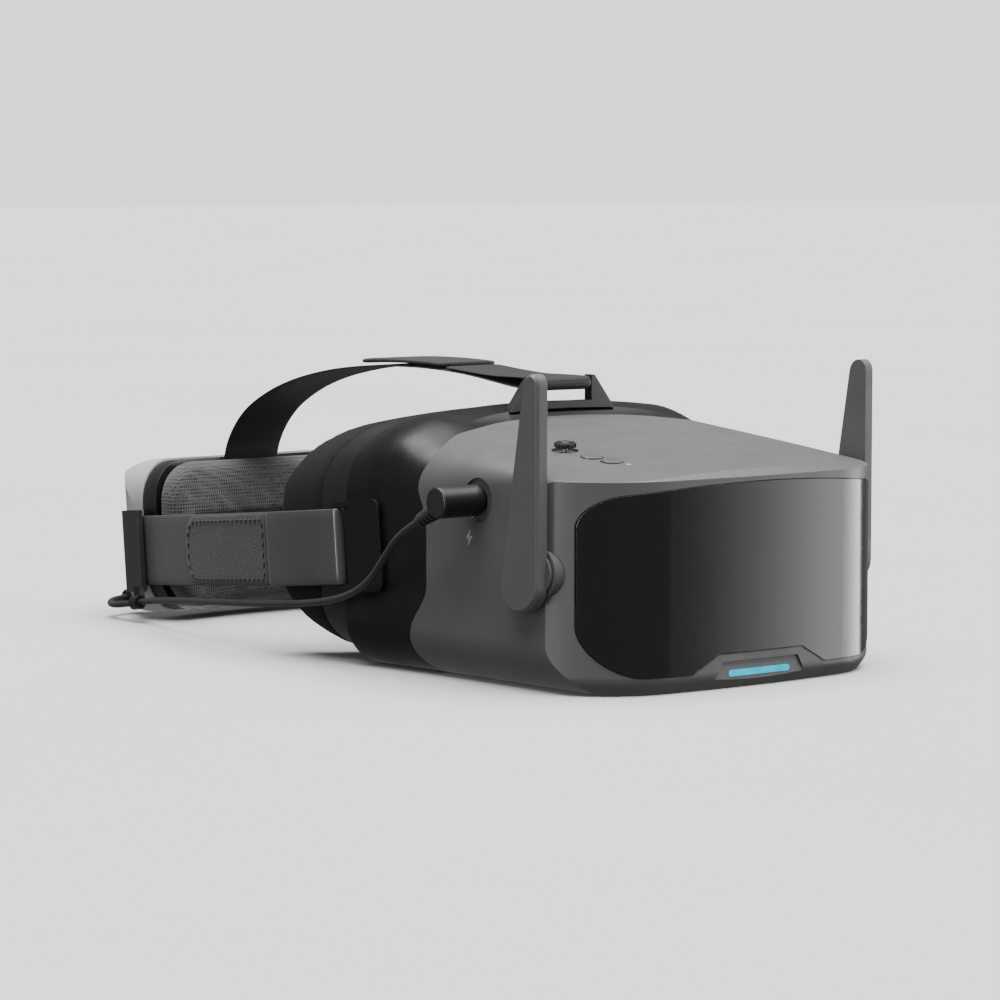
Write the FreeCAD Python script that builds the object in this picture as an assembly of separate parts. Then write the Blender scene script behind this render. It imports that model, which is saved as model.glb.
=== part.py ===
import FreeCAD, Part
import math
import os
from FreeCAD import Vector as V

# FPV goggles: front housing with a wrap-round visor, face mask, head strap
# and battery box.  Millimetres.  While modelling, Y = 0 is the front of the
# visor, +Y runs back to the wearer, Z = 0 is the flat underside and -X is the
# wearer's right.  The last lines move the origin to the middle of the footprint.

# ---------------------------------------------------------------- dimensions
ORIGIN_Y = 184.0          # middle of the footprint, front to back
ANTENNA_FACE_X = 90.0     # outer face of each antenna, half the overall width
WALL = 2.5                # plastic wall of the housing and the rear shell
VISOR_THICK = 1.6
UNDERCUT = 0.5            # taken off the rounded underside to leave a flat to stand on

# deck: the sloping, slightly crowned top of the front housing
DECK_Z = 85.4             # height on the centre line, 8 mm behind the front
DECK_Y = 8.0
DECK_RISE = 0.13          # rise per millimetre going back
CROWN_RADIUS = 620.0
CHAMFER_Z = 82.0          # lower edge of the bevel along the top of the visor
CHAMFER_SLOPE = 0.84

# joint line between the grey front housing and the black rear shell, (Y, Z)
PARTING = [(106, -8), (109, 0), (114, 8), (114.5, 17), (110, 25), (104.6, 33), (104, 42),
           (104, 57), (105.5, 66), (109, 74), (108, 82), (106, 90), (109, 95), (116, 98.5),
           (120.5, 102), (121, 112)]
PARTING_GAP = 0.15

# optics, all centred on the eye line
EYE_Z = 45.0
DISPLAY_Y = 28.0
DISPLAY_SIZE = (98.0, 4.0, 56.0)
BULKHEAD_Y = 114.0
LENS_SIZE = (128.0, 2.0, 72.0)

# antennas, hinged on the sides
PIVOT_Y = 34.5
PIVOT_Z = 46.6
PIVOT_DISC_R = 9.6
SHAFT_R = 4.0
RUNNING_GAP = 0.06
BLADE_THICK = 5.1
BLADE_FRONT_Y = 29.1
BLADE_TOP_Z = 123.2
BLADE_BOTTOM_Z = 31.0

# controls on the deck, in the control frame (its Z is square to the deck)
CONTROL_X = -47.0
CONTROL_Y = 50.0
JOYSTICK_AT = (-1.0, 12.0)
REAR_BUTTON_AT = (0.0, -3.0)
FRONT_BUTTON_AT = (1.5, -13.2)
STATUS_LED_AT = (3.5, -20.8)
BUTTON_R = 4.3
BUTTON_GAP = 0.3
BUTTON_PROUD = 0.8        # how far a button stands above the deck
DISH_R = 5.4
DISH_DEPTH = 1.3
STEM_R = 1.1
STEM_HOLE_R = 2.5
CAP_R = 4.4
CAP_BASE = 1.45           # underside of the stick's cap above the deck
JOYSTICK_PIVOT = -6.2     # below the deck surface
BOARD_DEPTH = 10.5        # top of the control board below the deck

# supply socket on the wearer's right, with its plug and cable
PLUG_Y = 72.3
PLUG_Z = 72.2
PLUG_R = 6.2
PLUG_OUT_X = -105.0
BARREL_R = 2.75
LEAD_EXIT_X = -98.0
LEAD_DROP = 25.0          # degrees below level, where the cable leaves the plug
LEAD_D = 2.9
LEAD_POINTS = [
    (-98.0, 92.1, 62.97), (-98.0, 104.0, 57.4), (-97.0, 114.5, 47.5), (-96.0, 125.0, 37.5),
    (-95.0, 137.0, 31.0), (-94.0, 155.0, 26.2), (-93.0, 178.0, 23.0), (-90.0, 214.0, 19.8),
    (-84.5, 250.0, 17.0), (-77.0, 284.0, 14.2), (-69.6, 318.0, 10.6), (-68.0, 338.0, 7.3),
    (-68.8, 348.5, 5.9), (-66.2, 356.2, 6.1), (-60.4, 360.4, 6.9), (-53.2, 361.4, 7.3)]

# head strap: built level, then tilted down towards the back
TILT = 5.4
TILT_Y = 155.0
TILT_Z = 48.0
STRAP_H = 30.8
STRAP_T = 1.5
STRAP_BAR_X = 87.2
STRAP_BAR_Y = 157.4
STRAP_BAR_R = 1.3
# side strap and its tab seen from above, (X, Y): the layer next to the head from the
# front bar to the battery box, the layer folded back over the bar, and the tab on it
STRAP_INNER = [(-88.4, 176), (-89.0, 186), (-88.5, 197), (-87.2, 209), (-83.8, 232),
               (-79.4, 256), (-74.0, 282), (-68.0, 307), (-64.4, 322), (-61.9, 333), (-60.7, 341)]
STRAP_OUTER = [(-90.9, 195.4), (-91.6, 186), (-92.0, 176), (-90.9, 165.5)]
STRAP_TAB = [(-90.25, 196.6), (-88.76, 209.3), (-85.37, 232.3), (-80.95, 256.3), (-75.97, 280.7)]
TAB_MARGIN = 0.6          # the tab is this much narrower on each side
TAB_END_R = 7.0
TOP_STRAP_W = 29.6
TOP_STRAP_T = 1.0
TOP_BAR_Y = 121.5
TOP_BAR_Z = 112.7
TOP_BAR_R = 1.7

# battery box, in the tilted frame
BOX_Z0 = 19.1
BOX_Z1 = 88.6
BOX_HALF = 59.0
PAD_Y = 324.0
FRAME_Y = 337.6
CASE_Y = 347.5
CASE_BACK_Y = 366.4
BACK_RADIUS = 210.0
CELL_R = 9.2
CELL_LENGTH = 65.0
CELL_Y = 354.3
CELL_Z = (43.2, 63.4)
BAY_HALF = 35.0           # room for the cells, half-width
BAY_LOW = 32.0
BAY_SHOULDER = 73.4       # above this the room is shallower, under the rounded top
BAY_HIGH = 81.6
CASE_WALL = 2.5           # at the middle of the back, where it is thickest
CASE_BOW = 1.5            # how much the back curves forward at its ends
CASE_CORNER_R = 20.0
FRAME_CORNER_R = 19.0
PAD_CORNER_R = 18.0
TOP_ROUND = (16.0, 20.0)  # depth and height of the case's rounded top and bottom edges
LOW_ROUND = (8.0, 11.0)

pieces = {}


# ------------------------------------------------------------------- helpers
def box(x0, x1, y0, y1, z0, z1):
    return Part.makeBox(abs(x1 - x0), y1 - y0, z1 - z0, V(min(x0, x1), y0, z0))


def cylinder(start, axis, radius, length):
    return Part.makeCylinder(radius, length, V(*start), V(*axis))


def ring(start, axis, r_out, r_in, length):
    outer = cylinder(start, axis, r_out, length)
    return outer.cut(cylinder(start, axis, r_in, length))


def line(a, b):
    return Part.LineSegment(a, b).toShape()


def arc(a, b, c):
    return Part.Arc(a, b, c).toShape()


def spline(points):
    curve = Part.BSplineCurve()
    curve.interpolate(points)
    return curve.toShape()


def corner(a, ta, b, tb):
    """Smooth quarter turn from a (heading ta) to b (heading tb)."""
    reach = a.distanceToPoint(b) / math.sqrt(2) * 0.5523
    curve = Part.BezierCurve()
    curve.setPoles([a, a + ta.normalize() * reach, b - tb.normalize() * reach, b])
    return curve.toShape()


def prism(edges, direction):
    return Part.Face(Part.Wire(edges)).extrude(direction)


def polygon(points, direction):
    return Part.Face(Part.makePolygon([*points, points[0]])).extrude(direction)


def rounded_plate(x0, x1, z0, z1, radius, y0, y1):
    """Plate in the X-Z plane with rounded corners."""
    plate = box(x0, x1, y0, y1, z0, z1)
    upright = [e for e in plate.Edges if abs(e.Length - (y1 - y0)) < 1e-6 and
               abs(e.tangentAt(e.FirstParameter).y) > 0.99]
    return plate.makeFillet(radius, upright)


def mirrored(shape):
    return shape.mirror(V(0, 0, 0), V(1, 0, 0))


def joined(*shapes):
    result = shapes[0]
    for shape in shapes[1:]:
        result = result.fuse(shape)
    return result.removeSplitter()


def group(*shapes):
    return Part.makeCompound([s for shape in shapes for s in shape.Solids])


def tilted(shape):
    """Move a piece from the level strap frame to its place on the goggles."""
    result = shape.copy()
    result.rotate(V(0, TILT_Y, TILT_Z), V(1, 0, 0), -TILT)
    return result


def both_sides(name, shape):
    pieces[name + "_right"] = shape
    pieces[name + "_left"] = mirrored(shape)


def strip(path, thickness, plane="XY"):
    """Edges of a thin band that follows a path of (u, v) points in a plane."""
    place = (lambda u, v: V(u, v, 0)) if plane == "XY" else (lambda u, v: V(0, u, v))
    near = []
    far = []
    for i, (u, v) in enumerate(path):
        u0, v0 = path[max(i - 1, 0)]
        u1, v1 = path[min(i + 1, len(path) - 1)]
        size = math.hypot(u1 - u0, v1 - v0)
        du = -(v1 - v0) / size * thickness / 2
        dv = (u1 - u0) / size * thickness / 2
        near.append(place(u + du, v + dv))
        far.append(place(u - du, v - dv))
    return [spline(near), line(near[-1], far[-1]), spline(far), line(far[0], near[0])]


def arc_around(centre_u, centre_v, radius, start_deg, end_deg, steps=6):
    """Points on an arc, for paths that wrap round a bar."""
    points = []
    for i in range(steps + 1):
        angle = math.radians(start_deg + (end_deg - start_deg) * i / steps)
        points.append((centre_u + radius * math.cos(angle), centre_v + radius * math.sin(angle)))
    return points


# ------------------------------------------------------------ outer surfaces
def plan_wire(z, inset):
    """Nose of the goggles seen from above: shallow front, wide round corners."""
    front = 46.0 - inset * 0.3
    wide = 89.0 - inset
    sag = 2.2 + inset
    left_a = V(-front, sag, z)
    right_a = V(front, sag, z)
    left_b = V(-wide, 52.0, z)
    right_b = V(wide, 52.0, z)
    heading = V(1, 0.09, 0)
    outward = V(0.16, 1, 0)
    return Part.Wire([
        arc(left_a, V(0, inset, z), right_a),
        corner(right_a, heading, right_b, outward),
        line(right_b, V(wide + 12, 126, z)),
        line(V(wide + 12, 126, z), V(-wide - 12, 126, z)),
        line(V(-wide - 12, 126, z), left_b),
        corner(left_b, V(0.16, -1, 0), left_a, V(1, -0.09, 0))])


def nose_volume(inset):
    """Everything inside the visor surface and under the bevel above it."""
    bevel = CHAMFER_Z - inset * 0.4
    top = 30.0
    foot = [plan_wire(z, inset + tuck) for z, tuck in [(-3.0, 6.0), (0.0, 3.4), (3.0, 1.2), (8.0, 0.0)]]
    walls = [plan_wire(8.0, inset), plan_wire(bevel, inset)]
    brow = [plan_wire(bevel, inset), plan_wire(bevel + top, inset + top / CHAMFER_SLOPE)]
    return Part.makeLoft(foot, True, False).fuse(
        Part.makeLoft(walls, True, True)).fuse(Part.makeLoft(brow, True, True))


def cross_section(y, half, z0, z1, r_bottom, r_top, crown):
    """Closed section across the goggles: flat base, upright sides, crowned top."""
    def top_z(x):
        return z1 - x * x / (2 * crown)

    edge = half - r_top
    slope = edge / crown
    low_r = V(half - r_bottom, y, z0)
    side_r0 = V(half, y, z0 + r_bottom)
    side_r1 = V(half, y, top_z(edge) - r_top)
    top_r = V(edge, y, top_z(edge))
    flip = [V(-p.x, p.y, p.z) for p in (low_r, side_r0, side_r1, top_r)]
    up = V(0, 0, 1)
    return Part.Wire([
        line(flip[0], low_r),
        corner(low_r, V(1, 0, 0), side_r0, V(0, 0, 1)),
        line(side_r0, side_r1),
        corner(side_r1, up, top_r, V(-1, 0, slope)),
        arc(top_r, V(0, y, z1), flip[3]),
        corner(flip[3], V(-1, 0, -slope), flip[2], V(0, 0, -1)),
        line(flip[2], flip[1]),
        corner(flip[1], V(0, 0, -1), flip[0], V(1, 0, 0))])


def below_ground():
    return box(-120, 120, -30, 400, -20, 0)


def deck_z(x, y):
    return DECK_Z + DECK_RISE * (y - DECK_Y) - x * x / (2 * CROWN_RADIUS)


def housing_volume(inset):
    """Front housing before the nose is rounded: sections from front to back."""
    sections = []
    for y, half, r_top in [(-8, 83.4, 3), (30, 83.4, 4), (70, 83.8, 11), (105, 84.3, 22), (128, 84.5, 27)]:
        sections.append(cross_section(y, half - inset, inset - UNDERCUT, deck_z(0, y) - inset,
                                      19 - inset, max(r_top - inset, 1.5), CROWN_RADIUS))
    return Part.makeLoft(sections, True, False).common(nose_volume(inset))


def shell_volume(inset):
    """Rear shell: rises from the deck to the mask behind it."""
    sections = []
    for y, half, z1 in [(97, 84.3, 96.2), (108, 84.3, 98.4), (116, 84.5, 101.2),
                        (124, 84.9, 103.8), (136, 85.8, 104.6), (162, 86.0, 103.2)]:
        sections.append(cross_section(y, half - inset, inset - UNDERCUT, z1 - inset,
                                      19 - inset, 27 - inset, 500.0))
    return Part.makeLoft(sections, True, False)


def mask_volume(inset):
    """Soft end of the mask, tapering towards the face."""
    sections = []
    for y, half, z0, z1 in [(140, 83.2, 1.0, 102.6), (160, 83.2, 2.6, 101.4), (180, 82.4, 5.6, 98.6),
                            (200, 80.0, 10.4, 95.0), (222, 75.5, 17.0, 90.0)]:
        sections.append(cross_section(y, half - inset, z0 + inset, z1 - inset,
                                      21 - inset * 0.5, 30 - inset * 0.6, 400.0))
    return Part.makeLoft(sections, True, False)


def behind(y_middle, radius):
    """Space behind an upright cylinder wall that faces the wearer."""
    half = 92.0
    side_y = y_middle + radius - math.sqrt(radius * radius - half * half)
    wall = arc(V(-half, side_y, -20), V(0, y_middle, -20), V(half, side_y, -20))
    far = 300.0
    return prism([wall, line(V(half, side_y, -20), V(half, far, -20)),
                  line(V(half, far, -20), V(-half, far, -20)),
                  line(V(-half, far, -20), V(-half, side_y, -20))], V(0, 0, 150))


def front_of_parting(shift):
    """Space in front of the joint line between the housing and the rear shell."""
    points = [V(-100, y + shift, z) for y, z in PARTING]
    low = points[0]
    high = points[-1]
    return prism([spline(points), line(high, V(-100, -20, high.z)),
                  line(V(-100, -20, high.z), V(-100, -20, low.z)),
                  line(V(-100, -20, low.z), low)], V(200, 0, 0))


# ------------------------------------------------------------- control frame
def control_placement():
    normal = V(CONTROL_X / CROWN_RADIUS, -DECK_RISE, 1).normalize()
    base = V(CONTROL_X, CONTROL_Y, deck_z(CONTROL_X, CONTROL_Y))
    return FreeCAD.Placement(base, FreeCAD.Rotation(V(0, 0, 1), normal))


def on_deck(shape):
    result = shape.copy()
    result.Placement = control_placement().multiply(result.Placement)
    return result


# -------------------------------------------------------------- visor, front
def visor_outline(grow):
    """Visor seen from the front, with the notch above the light bar."""
    end = 77.6 + grow
    low = 6.8 - grow
    top = 76.8 + grow
    notch = 13.8 - grow

    def at(x, z):
        return V(x, -12, z)

    right = [
        line(at(22 - grow, notch), at(33 - grow, low + 1.2)),
        corner(at(33 - grow, low + 1.2), V(1, 0, -0.8), at(40 - grow, low), V(1, 0, 0)),
        line(at(40 - grow, low), at(56, low)),
        corner(at(56, low), V(1, 0, 0), at(end, 27), V(0, 0, 1)),
        line(at(end, 27), at(end, 64)),
        corner(at(end, 64), V(0, 0, 1), at(64, top), V(-1, 0, 0.1))]
    left = [
        corner(at(-64, top), V(-1, 0, -0.1), at(-end, 64), V(0, 0, -1)),
        line(at(-end, 64), at(-end, 27)),
        corner(at(-end, 27), V(0, 0, -1), at(-56, low), V(1, 0, 0)),
        line(at(-56, low), at(-40 + grow, low)),
        corner(at(-40 + grow, low), V(1, 0, 0), at(-33 + grow, low + 1.2), V(1, 0, 0.8)),
        line(at(-33 + grow, low + 1.2), at(-22 + grow, notch))]
    brow = arc(at(64, top), at(0, top + 3.2), at(-64, top))
    sill = line(at(-22 + grow, notch), at(22 - grow, notch))
    return prism([*right, brow, *left, sill], V(0, 60, 0))


def light_recess(half_top, half_bottom, z_top, depth):
    return polygon([V(-half_bottom, -12, -2), V(half_bottom, -12, -2),
                    V(half_top, -12, z_top), V(-half_top, -12, z_top)], V(0, 12 + depth, 0))


def light_bar(grow, y0, y1):
    half = 16.0 + grow
    return rounded_plate(-half, half, 4.4 - grow, 6.9 + grow, 1.2, y0, y1)


def antenna_seat(side):
    return cylinder((side * 74.0, PIVOT_Y, PIVOT_Z), (side, 0, 0), PIVOT_DISC_R + 0.1, 16)


def control_openings():
    tools = [cylinder((*JOYSTICK_AT, -DISH_DEPTH), (0, 0, 1), DISH_R, 6),
             cylinder((*JOYSTICK_AT, -6), (0, 0, 1), STEM_HOLE_R, 6),
             cylinder((*REAR_BUTTON_AT, -6), (0, 0, 1), BUTTON_R + BUTTON_GAP, 12),
             cylinder((*FRONT_BUTTON_AT, -6), (0, 0, 1), BUTTON_R + BUTTON_GAP, 12),
             cylinder((*STATUS_LED_AT, -6), (0, 0, 1), 1.1, 12)]
    return on_deck(group(*tools))


def screw_positions():
    return [(-72.0, 18.0), (72.0, 18.0), (-66.0, 83.0), (66.0, 83.0)]


def front_housing():
    shape = housing_volume(0)
    cavity = housing_volume(WALL)
    for x, z in screw_positions():
        cavity = cavity.cut(cylinder((x, 60, z), (0, 1, 0), 4.2, 70))
        cavity = cavity.cut(box(x, x + math.copysign(14, x), 60, 130, z - 1.2, z + 1.2))
    shape = shape.cut(cavity)
    skin = nose_volume(-1).cut(nose_volume(VISOR_THICK + 0.1))
    shape = shape.cut(skin.common(visor_outline(0.15)))
    window = visor_outline(-5).common(box(-60, 60, -12, 20, 10, 74))
    shape = shape.cut(window)
    shape = shape.cut(light_recess(20, 27, 10.4, 1.3))
    shape = shape.cut(light_bar(0.1, -12, 12))
    for side in (-1, 1):
        shape = shape.cut(antenna_seat(side))
    shape = shape.cut(control_openings())
    shape = shape.cut(cylinder((-90, PLUG_Y, PLUG_Z), (1, 0, 0), 4.5, 20))
    shape = shape.cut(cylinder((-90, PLUG_Y, PLUG_Z), (1, 0, 0), 8.6, 7.4))
    shape = shape.cut(box(-64, -50, 22, 25.5, -5, 5))
    shape = shape.common(front_of_parting(0))
    for x, z in screw_positions():
        shape = shape.cut(cylinder((x, 80, z), (0, 1, 0), 1.05, 50))
    shape = shape.cut(box(-100, 100, BULKHEAD_Y - 11.2, 140, -1, 120).common(cavity))
    return shape.cut(below_ground())


def visor():
    skin = nose_volume(-0.3).cut(nose_volume(VISOR_THICK))
    return skin.common(visor_outline(0))


# ------------------------------------------------------- rear shell and mask
def rear_shell():
    shape = shell_volume(0).cut(shell_volume(WALL))
    plate = shell_volume(WALL - 0.6).common(box(-100, 100, BULKHEAD_Y, BULKHEAD_Y + 2.4, -10, 120))
    half_x = LENS_SIZE[0] / 2 - 3
    half_z = LENS_SIZE[2] / 2 - 3
    plate = plate.cut(rounded_plate(-half_x, half_x, EYE_Z - half_z, EYE_Z + half_z, 8, 110, 120))
    for x, z in screw_positions():
        plate = plate.cut(cylinder((x, 100, z), (0, 1, 0), 1.4, 30))
    shape = shape.fuse(plate).cut(front_of_parting(PARTING_GAP))
    shape = shape.cut(behind(146, 532))
    for x, z in screw_positions():
        shape = shape.cut(cylinder((x, 90, z), (0, 1, 0), 4.5, BULKHEAD_Y - 90))
    shape = shape.cut(cylinder((0, 130, -6), (0, 1, 0), 19, 60))
    return shape.cut(below_ground())


def face_frame():
    shape = mask_volume(0).cut(mask_volume(7))
    shape = shape.common(behind(146.3, 532)).cut(behind(158, 211))
    return shape.cut(cylinder((0, 130, -6), (0, 1, 0), 19, 80))


def face_foam():
    shape = mask_volume(-0.4).cut(mask_volume(13))
    shape = shape.common(behind(158.3, 211)).cut(behind(170, 95))
    return shape.cut(cylinder((0, 130, -4), (0, 1, 0), 22, 120))


def nose_flap():
    outer = cylinder((0, 148, -6), (0, 1, 0), 18.6, 14)
    flap = outer.cut(cylinder((0, 140, -6), (0, 1, 0), 17.2, 40))
    return flap.common(box(-30, 30, 140, 170, 2.0, 20))


# -------------------------------------------------------------------- optics
def hood_ring(y, half_x, z0, z1):
    return Part.Wire(rounded_rect_edges(y, half_x, z0, z1, 6.0))


def rounded_rect_edges(y, half_x, z0, z1, r):
    centres = [(half_x - r, z0 + r, -90), (half_x - r, z1 - r, 0),
               (-half_x + r, z1 - r, 90), (-half_x + r, z0 + r, 180)]
    points = []
    for x, z, start in centres:
        for step in (0, 45, 90):
            angle = math.radians(start + step)
            points.append(V(x + r * math.cos(angle), y, z + r * math.sin(angle)))
    edges = []
    for i in range(0, 12, 3):
        edges.append(arc(points[i], points[i + 1], points[i + 2]))
        edges.append(line(points[i + 2], points[(i + 3) % 12]))
    return edges


def light_hood():
    y0 = DISPLAY_Y + DISPLAY_SIZE[1] + 2.6
    y1 = BULKHEAD_Y - 5.5
    outer = Part.makeLoft([hood_ring(y0, 52, 18.5, 70.5), hood_ring(y1, 62, 11, 79)], True, True)
    inner = Part.makeLoft([hood_ring(y0 - 0.01, 50.6, 19.9, 69.1),
                           hood_ring(y1 + 0.01, 60.6, 12.4, 77.6)], True, True)
    return outer.cut(inner)


def display_panel():
    half = DISPLAY_SIZE[0] / 2
    z0 = EYE_Z - DISPLAY_SIZE[2] / 2
    return box(-half, half, DISPLAY_Y, DISPLAY_Y + DISPLAY_SIZE[1], z0, z0 + DISPLAY_SIZE[2])


def display_frame():
    y0 = DISPLAY_Y - 2.0
    y1 = DISPLAY_Y + DISPLAY_SIZE[1] + 2.5
    half = DISPLAY_SIZE[0] / 2
    z0 = EYE_Z - DISPLAY_SIZE[2] / 2
    z1 = z0 + DISPLAY_SIZE[2]
    frame = rounded_plate(-half - 5, half + 5, z0 - 4, z1 + 4, 4, y0, y1)
    frame = frame.cut(box(-half - 0.2, half + 0.2, DISPLAY_Y - 0.1, DISPLAY_Y + DISPLAY_SIZE[1] + 0.1,
                          z0 - 0.2, z1 + 0.2))
    return frame.cut(box(-half + 3.5, half - 3.5, y0 - 1, y1 + 1, z0 + 6, z1 - 6))


def fresnel_lens():
    x, y, z = LENS_SIZE
    return rounded_plate(-x / 2, x / 2, EYE_Z - z / 2, EYE_Z + z / 2, 9,
                         BULKHEAD_Y - 0.1 - y, BULKHEAD_Y - 0.1)


def lens_frame():
    x, y, z = LENS_SIZE
    y0 = BULKHEAD_Y - 5.4
    frame = rounded_plate(-x / 2 - 2, x / 2 + 2, EYE_Z - z / 2 - 3, EYE_Z + z / 2 + 3, 9,
                          y0, BULKHEAD_Y - 0.1)
    frame = frame.cut(rounded_plate(-x / 2 - 0.1, x / 2 + 0.1, EYE_Z - z / 2 - 0.1, EYE_Z + z / 2 + 0.1, 9,
                                    BULKHEAD_Y - y - 0.2, BULKHEAD_Y + 1))
    frame = frame.cut(box(-59, 59, y0 - 1, BULKHEAD_Y, EYE_Z - 32, EYE_Z + 32))
    for sx, sz in screw_positions():
        frame = frame.cut(cylinder((sx, 90, sz), (0, 1, 0), 4.6, 30))
    return frame


# --------------------------------------------------------------- electronics
def main_board():
    """Circuit board with its larger chips soldered on."""
    plate = box(-46, 46, 18.0, 19.6, 16, 74)
    chips = [box(-30, -14, 15.6, 18.0, 44, 60), box(6, 18, 16.2, 18.0, 50, 62),
             box(22, 34, 16.4, 18.0, 24, 32)]
    return joined(plate, *chips)


def receiver_module():
    return box(-16, 16, 19.7, 25.7, 24, 64)


def led_board():
    return box(-18, 18, 3.9, 4.9, 3.4, 8.4)


def card_slot():
    return box(-63.6, -50.4, 22.2, 25.3, 0.8, 8.5)


def dc_socket():
    body = box(-80.6, -70.0, PLUG_Y - 5, PLUG_Y + 5, PLUG_Z - 5.5, PLUG_Z + 5)
    body = body.cut(cylinder((-82, PLUG_Y, PLUG_Z), (1, 0, 0), BARREL_R + RUNNING_GAP, 11.3))
    nozzle = ring((-83.6, PLUG_Y, PLUG_Z), (1, 0, 0), 4.3, BARREL_R + RUNNING_GAP, 3.2)
    pin = cylinder((-81.0, PLUG_Y, PLUG_Z), (1, 0, 0), 0.9, 10.4)
    return joined(body, nozzle, pin)


# ------------------------------------------------------------------ controls
def control_board():
    plate = box(-8, 9, -16.4, 19, -BOARD_DEPTH - 1.2, -BOARD_DEPTH)
    return on_deck(plate)


def switch_block(at):
    return box(at[0] - 3, at[0] + 3, at[1] - 3, at[1] + 3, -BOARD_DEPTH, -7.2)


def key_switches():
    return on_deck(group(switch_block(REAR_BUTTON_AT), switch_block(FRONT_BUTTON_AT)))


def joystick_base():
    x, y = JOYSTICK_AT
    body = box(x - 5.6, x + 5.6, y - 5.6, y + 5.6, -BOARD_DEPTH, -5.0)
    body = body.cut(cylinder((x, y, -BOARD_DEPTH + 0.8), (0, 0, 1), 4.7, 12))
    return on_deck(body)


def joystick_carrier():
    x, y = JOYSTICK_AT
    body = cylinder((x, y, -8.6), (0, 0, 1), 4.6, 3.2)
    body = body.cut(cylinder((x, y, -8.0), (0, 0, 1), 3.2, 4))
    return on_deck(body)


def joystick_gimbal():
    x, y = JOYSTICK_AT
    return on_deck(ring((x, y, JOYSTICK_PIVOT - 0.6), (0, 0, 1), 2.8, 1.75, 1.2))


def joystick_stem():
    x, y = JOYSTICK_AT
    ball = Part.makeSphere(1.5, V(x, y, JOYSTICK_PIVOT))
    stem = cylinder((x, y, JOYSTICK_PIVOT), (0, 0, 1), STEM_R, -JOYSTICK_PIVOT + CAP_BASE)
    return on_deck(joined(ball, stem))


def joystick_cap():
    x, y = JOYSTICK_AT
    cap = cylinder((x, y, CAP_BASE), (0, 0, 1), CAP_R, 1.6)
    notch_at = CAP_R + 0.4
    for i in range(8):
        angle = math.radians(45 * i + 22.5)
        notch = (x + notch_at * math.cos(angle), y + notch_at * math.sin(angle), 0)
        cap = cap.cut(cylinder(notch, (0, 0, 1), 1.05, 4))
    dish = Part.makeSphere(6.0, V(x, y, 8.4))
    return on_deck(cap.cut(dish))


def button(at):
    cap = cylinder((*at, -3.6), (0, 0, 1), BUTTON_R, 3.6 + BUTTON_PROUD)
    cap = cap.makeFillet(0.55, [e for e in cap.Edges if e.Curve.TypeId == "Part::GeomCircle" and
                               e.BoundBox.ZMin > 0.1])
    flange = cylinder((*at, -4.6), (0, 0, 1), 4.9, 1.0)
    nub = cylinder((*at, -6.5), (0, 0, 1), 1.6, 2.4)
    return on_deck(joined(cap, flange, nub))


def status_led():
    return on_deck(cylinder((*STATUS_LED_AT, -2.6), (0, 0, 1), 1.0, 2.7))


# ------------------------------------------------------------------ antennas
def blade_outline(grow):
    """Antenna paddle seen from the side, as edges at the outer face."""
    x = -ANTENNA_FACE_X

    def at(y, z):
        return V(x, y, z)

    f = BLADE_FRONT_Y - grow
    top = BLADE_TOP_Z + grow
    low = BLADE_BOTTOM_Z - grow
    return [
        line(at(f, 42), at(f, top - 4.5)),
        corner(at(f, top - 4.5), V(0, 0, 1), at(f + 4.2, top), V(0, 1, 0)),
        corner(at(f + 4.2, top), V(0, 1, 0), at(38.6 + grow, top - 5.5), V(0, 0.12, -1)),
        line(at(38.6 + grow, top - 5.5), at(45.2 + grow, 80)),
        line(at(45.2 + grow, 80), at(51.4 + grow, 42)),
        corner(at(51.4 + grow, 42), V(0, 0.12, -1), at(42, low), V(0, -1, 0)),
        corner(at(42, low), V(0, -1, 0), at(f, 42), V(0, 0, 1))]


def antenna_blade():
    blade = prism(blade_outline(0), V(BLADE_THICK, 0, 0))
    outer = [e for e in blade.Edges if e.BoundBox.XMax < -ANTENNA_FACE_X + 0.01]
    blade = blade.makeChamfer(1.1, outer)
    slot = prism(blade_outline(-2.2), V(1.8, 0, 0))
    slot.translate(V(1.7, 0, 0))
    slot = slot.common(box(-100, 100, 0, 100, PIVOT_Z - 4, 200))
    shaft = cylinder((-ANTENNA_FACE_X + BLADE_THICK - 1.0, PIVOT_Y, PIVOT_Z), (1, 0, 0), SHAFT_R, 11.4)
    hub = cylinder((-ANTENNA_FACE_X + BLADE_THICK - 0.6, PIVOT_Y, PIVOT_Z), (1, 0, 0), 8.0, 0.9)
    lead_hole = cylinder((-87.5, PIVOT_Y, PIVOT_Z), (1, 0, 0), 1.5, 16)
    groove = ring((-75.9, PIVOT_Y, PIVOT_Z), (1, 0, 0), 6, SHAFT_R - 0.8, 0.9)
    return joined(blade, hub, shaft).cut(slot).cut(lead_hole).cut(groove)


def antenna_element():
    """Radiating strip inside the blade."""
    front_y = BLADE_FRONT_Y + 3.1
    outline = [(front_y, 56), (front_y, 112), (36.4, 112), (42.4, 80), (46.0, 56)]
    return polygon([V(-87.9, y, z) for y, z in outline], V(1.0, 0, 0))


def antenna_pivots():
    disc = ring((-84.2, PIVOT_Y, PIVOT_Z), (1, 0, 0), PIVOT_DISC_R, SHAFT_R + RUNNING_GAP, 5.4)
    return group(disc, mirrored(disc))


def antenna_washers():
    washer = ring((-78.6, PIVOT_Y, PIVOT_Z), (1, 0, 0), 7.0, SHAFT_R + 0.2, 1.0)
    return group(washer, mirrored(washer))


def antenna_clip():
    clip = ring((-75.8, PIVOT_Y, PIVOT_Z), (1, 0, 0), 6.2, SHAFT_R - 0.7, 0.7)
    return clip.cut(box(-77, -74, PIVOT_Y - 2.4, PIVOT_Y + 2.4, PIVOT_Z, PIVOT_Z + 10))


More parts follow.
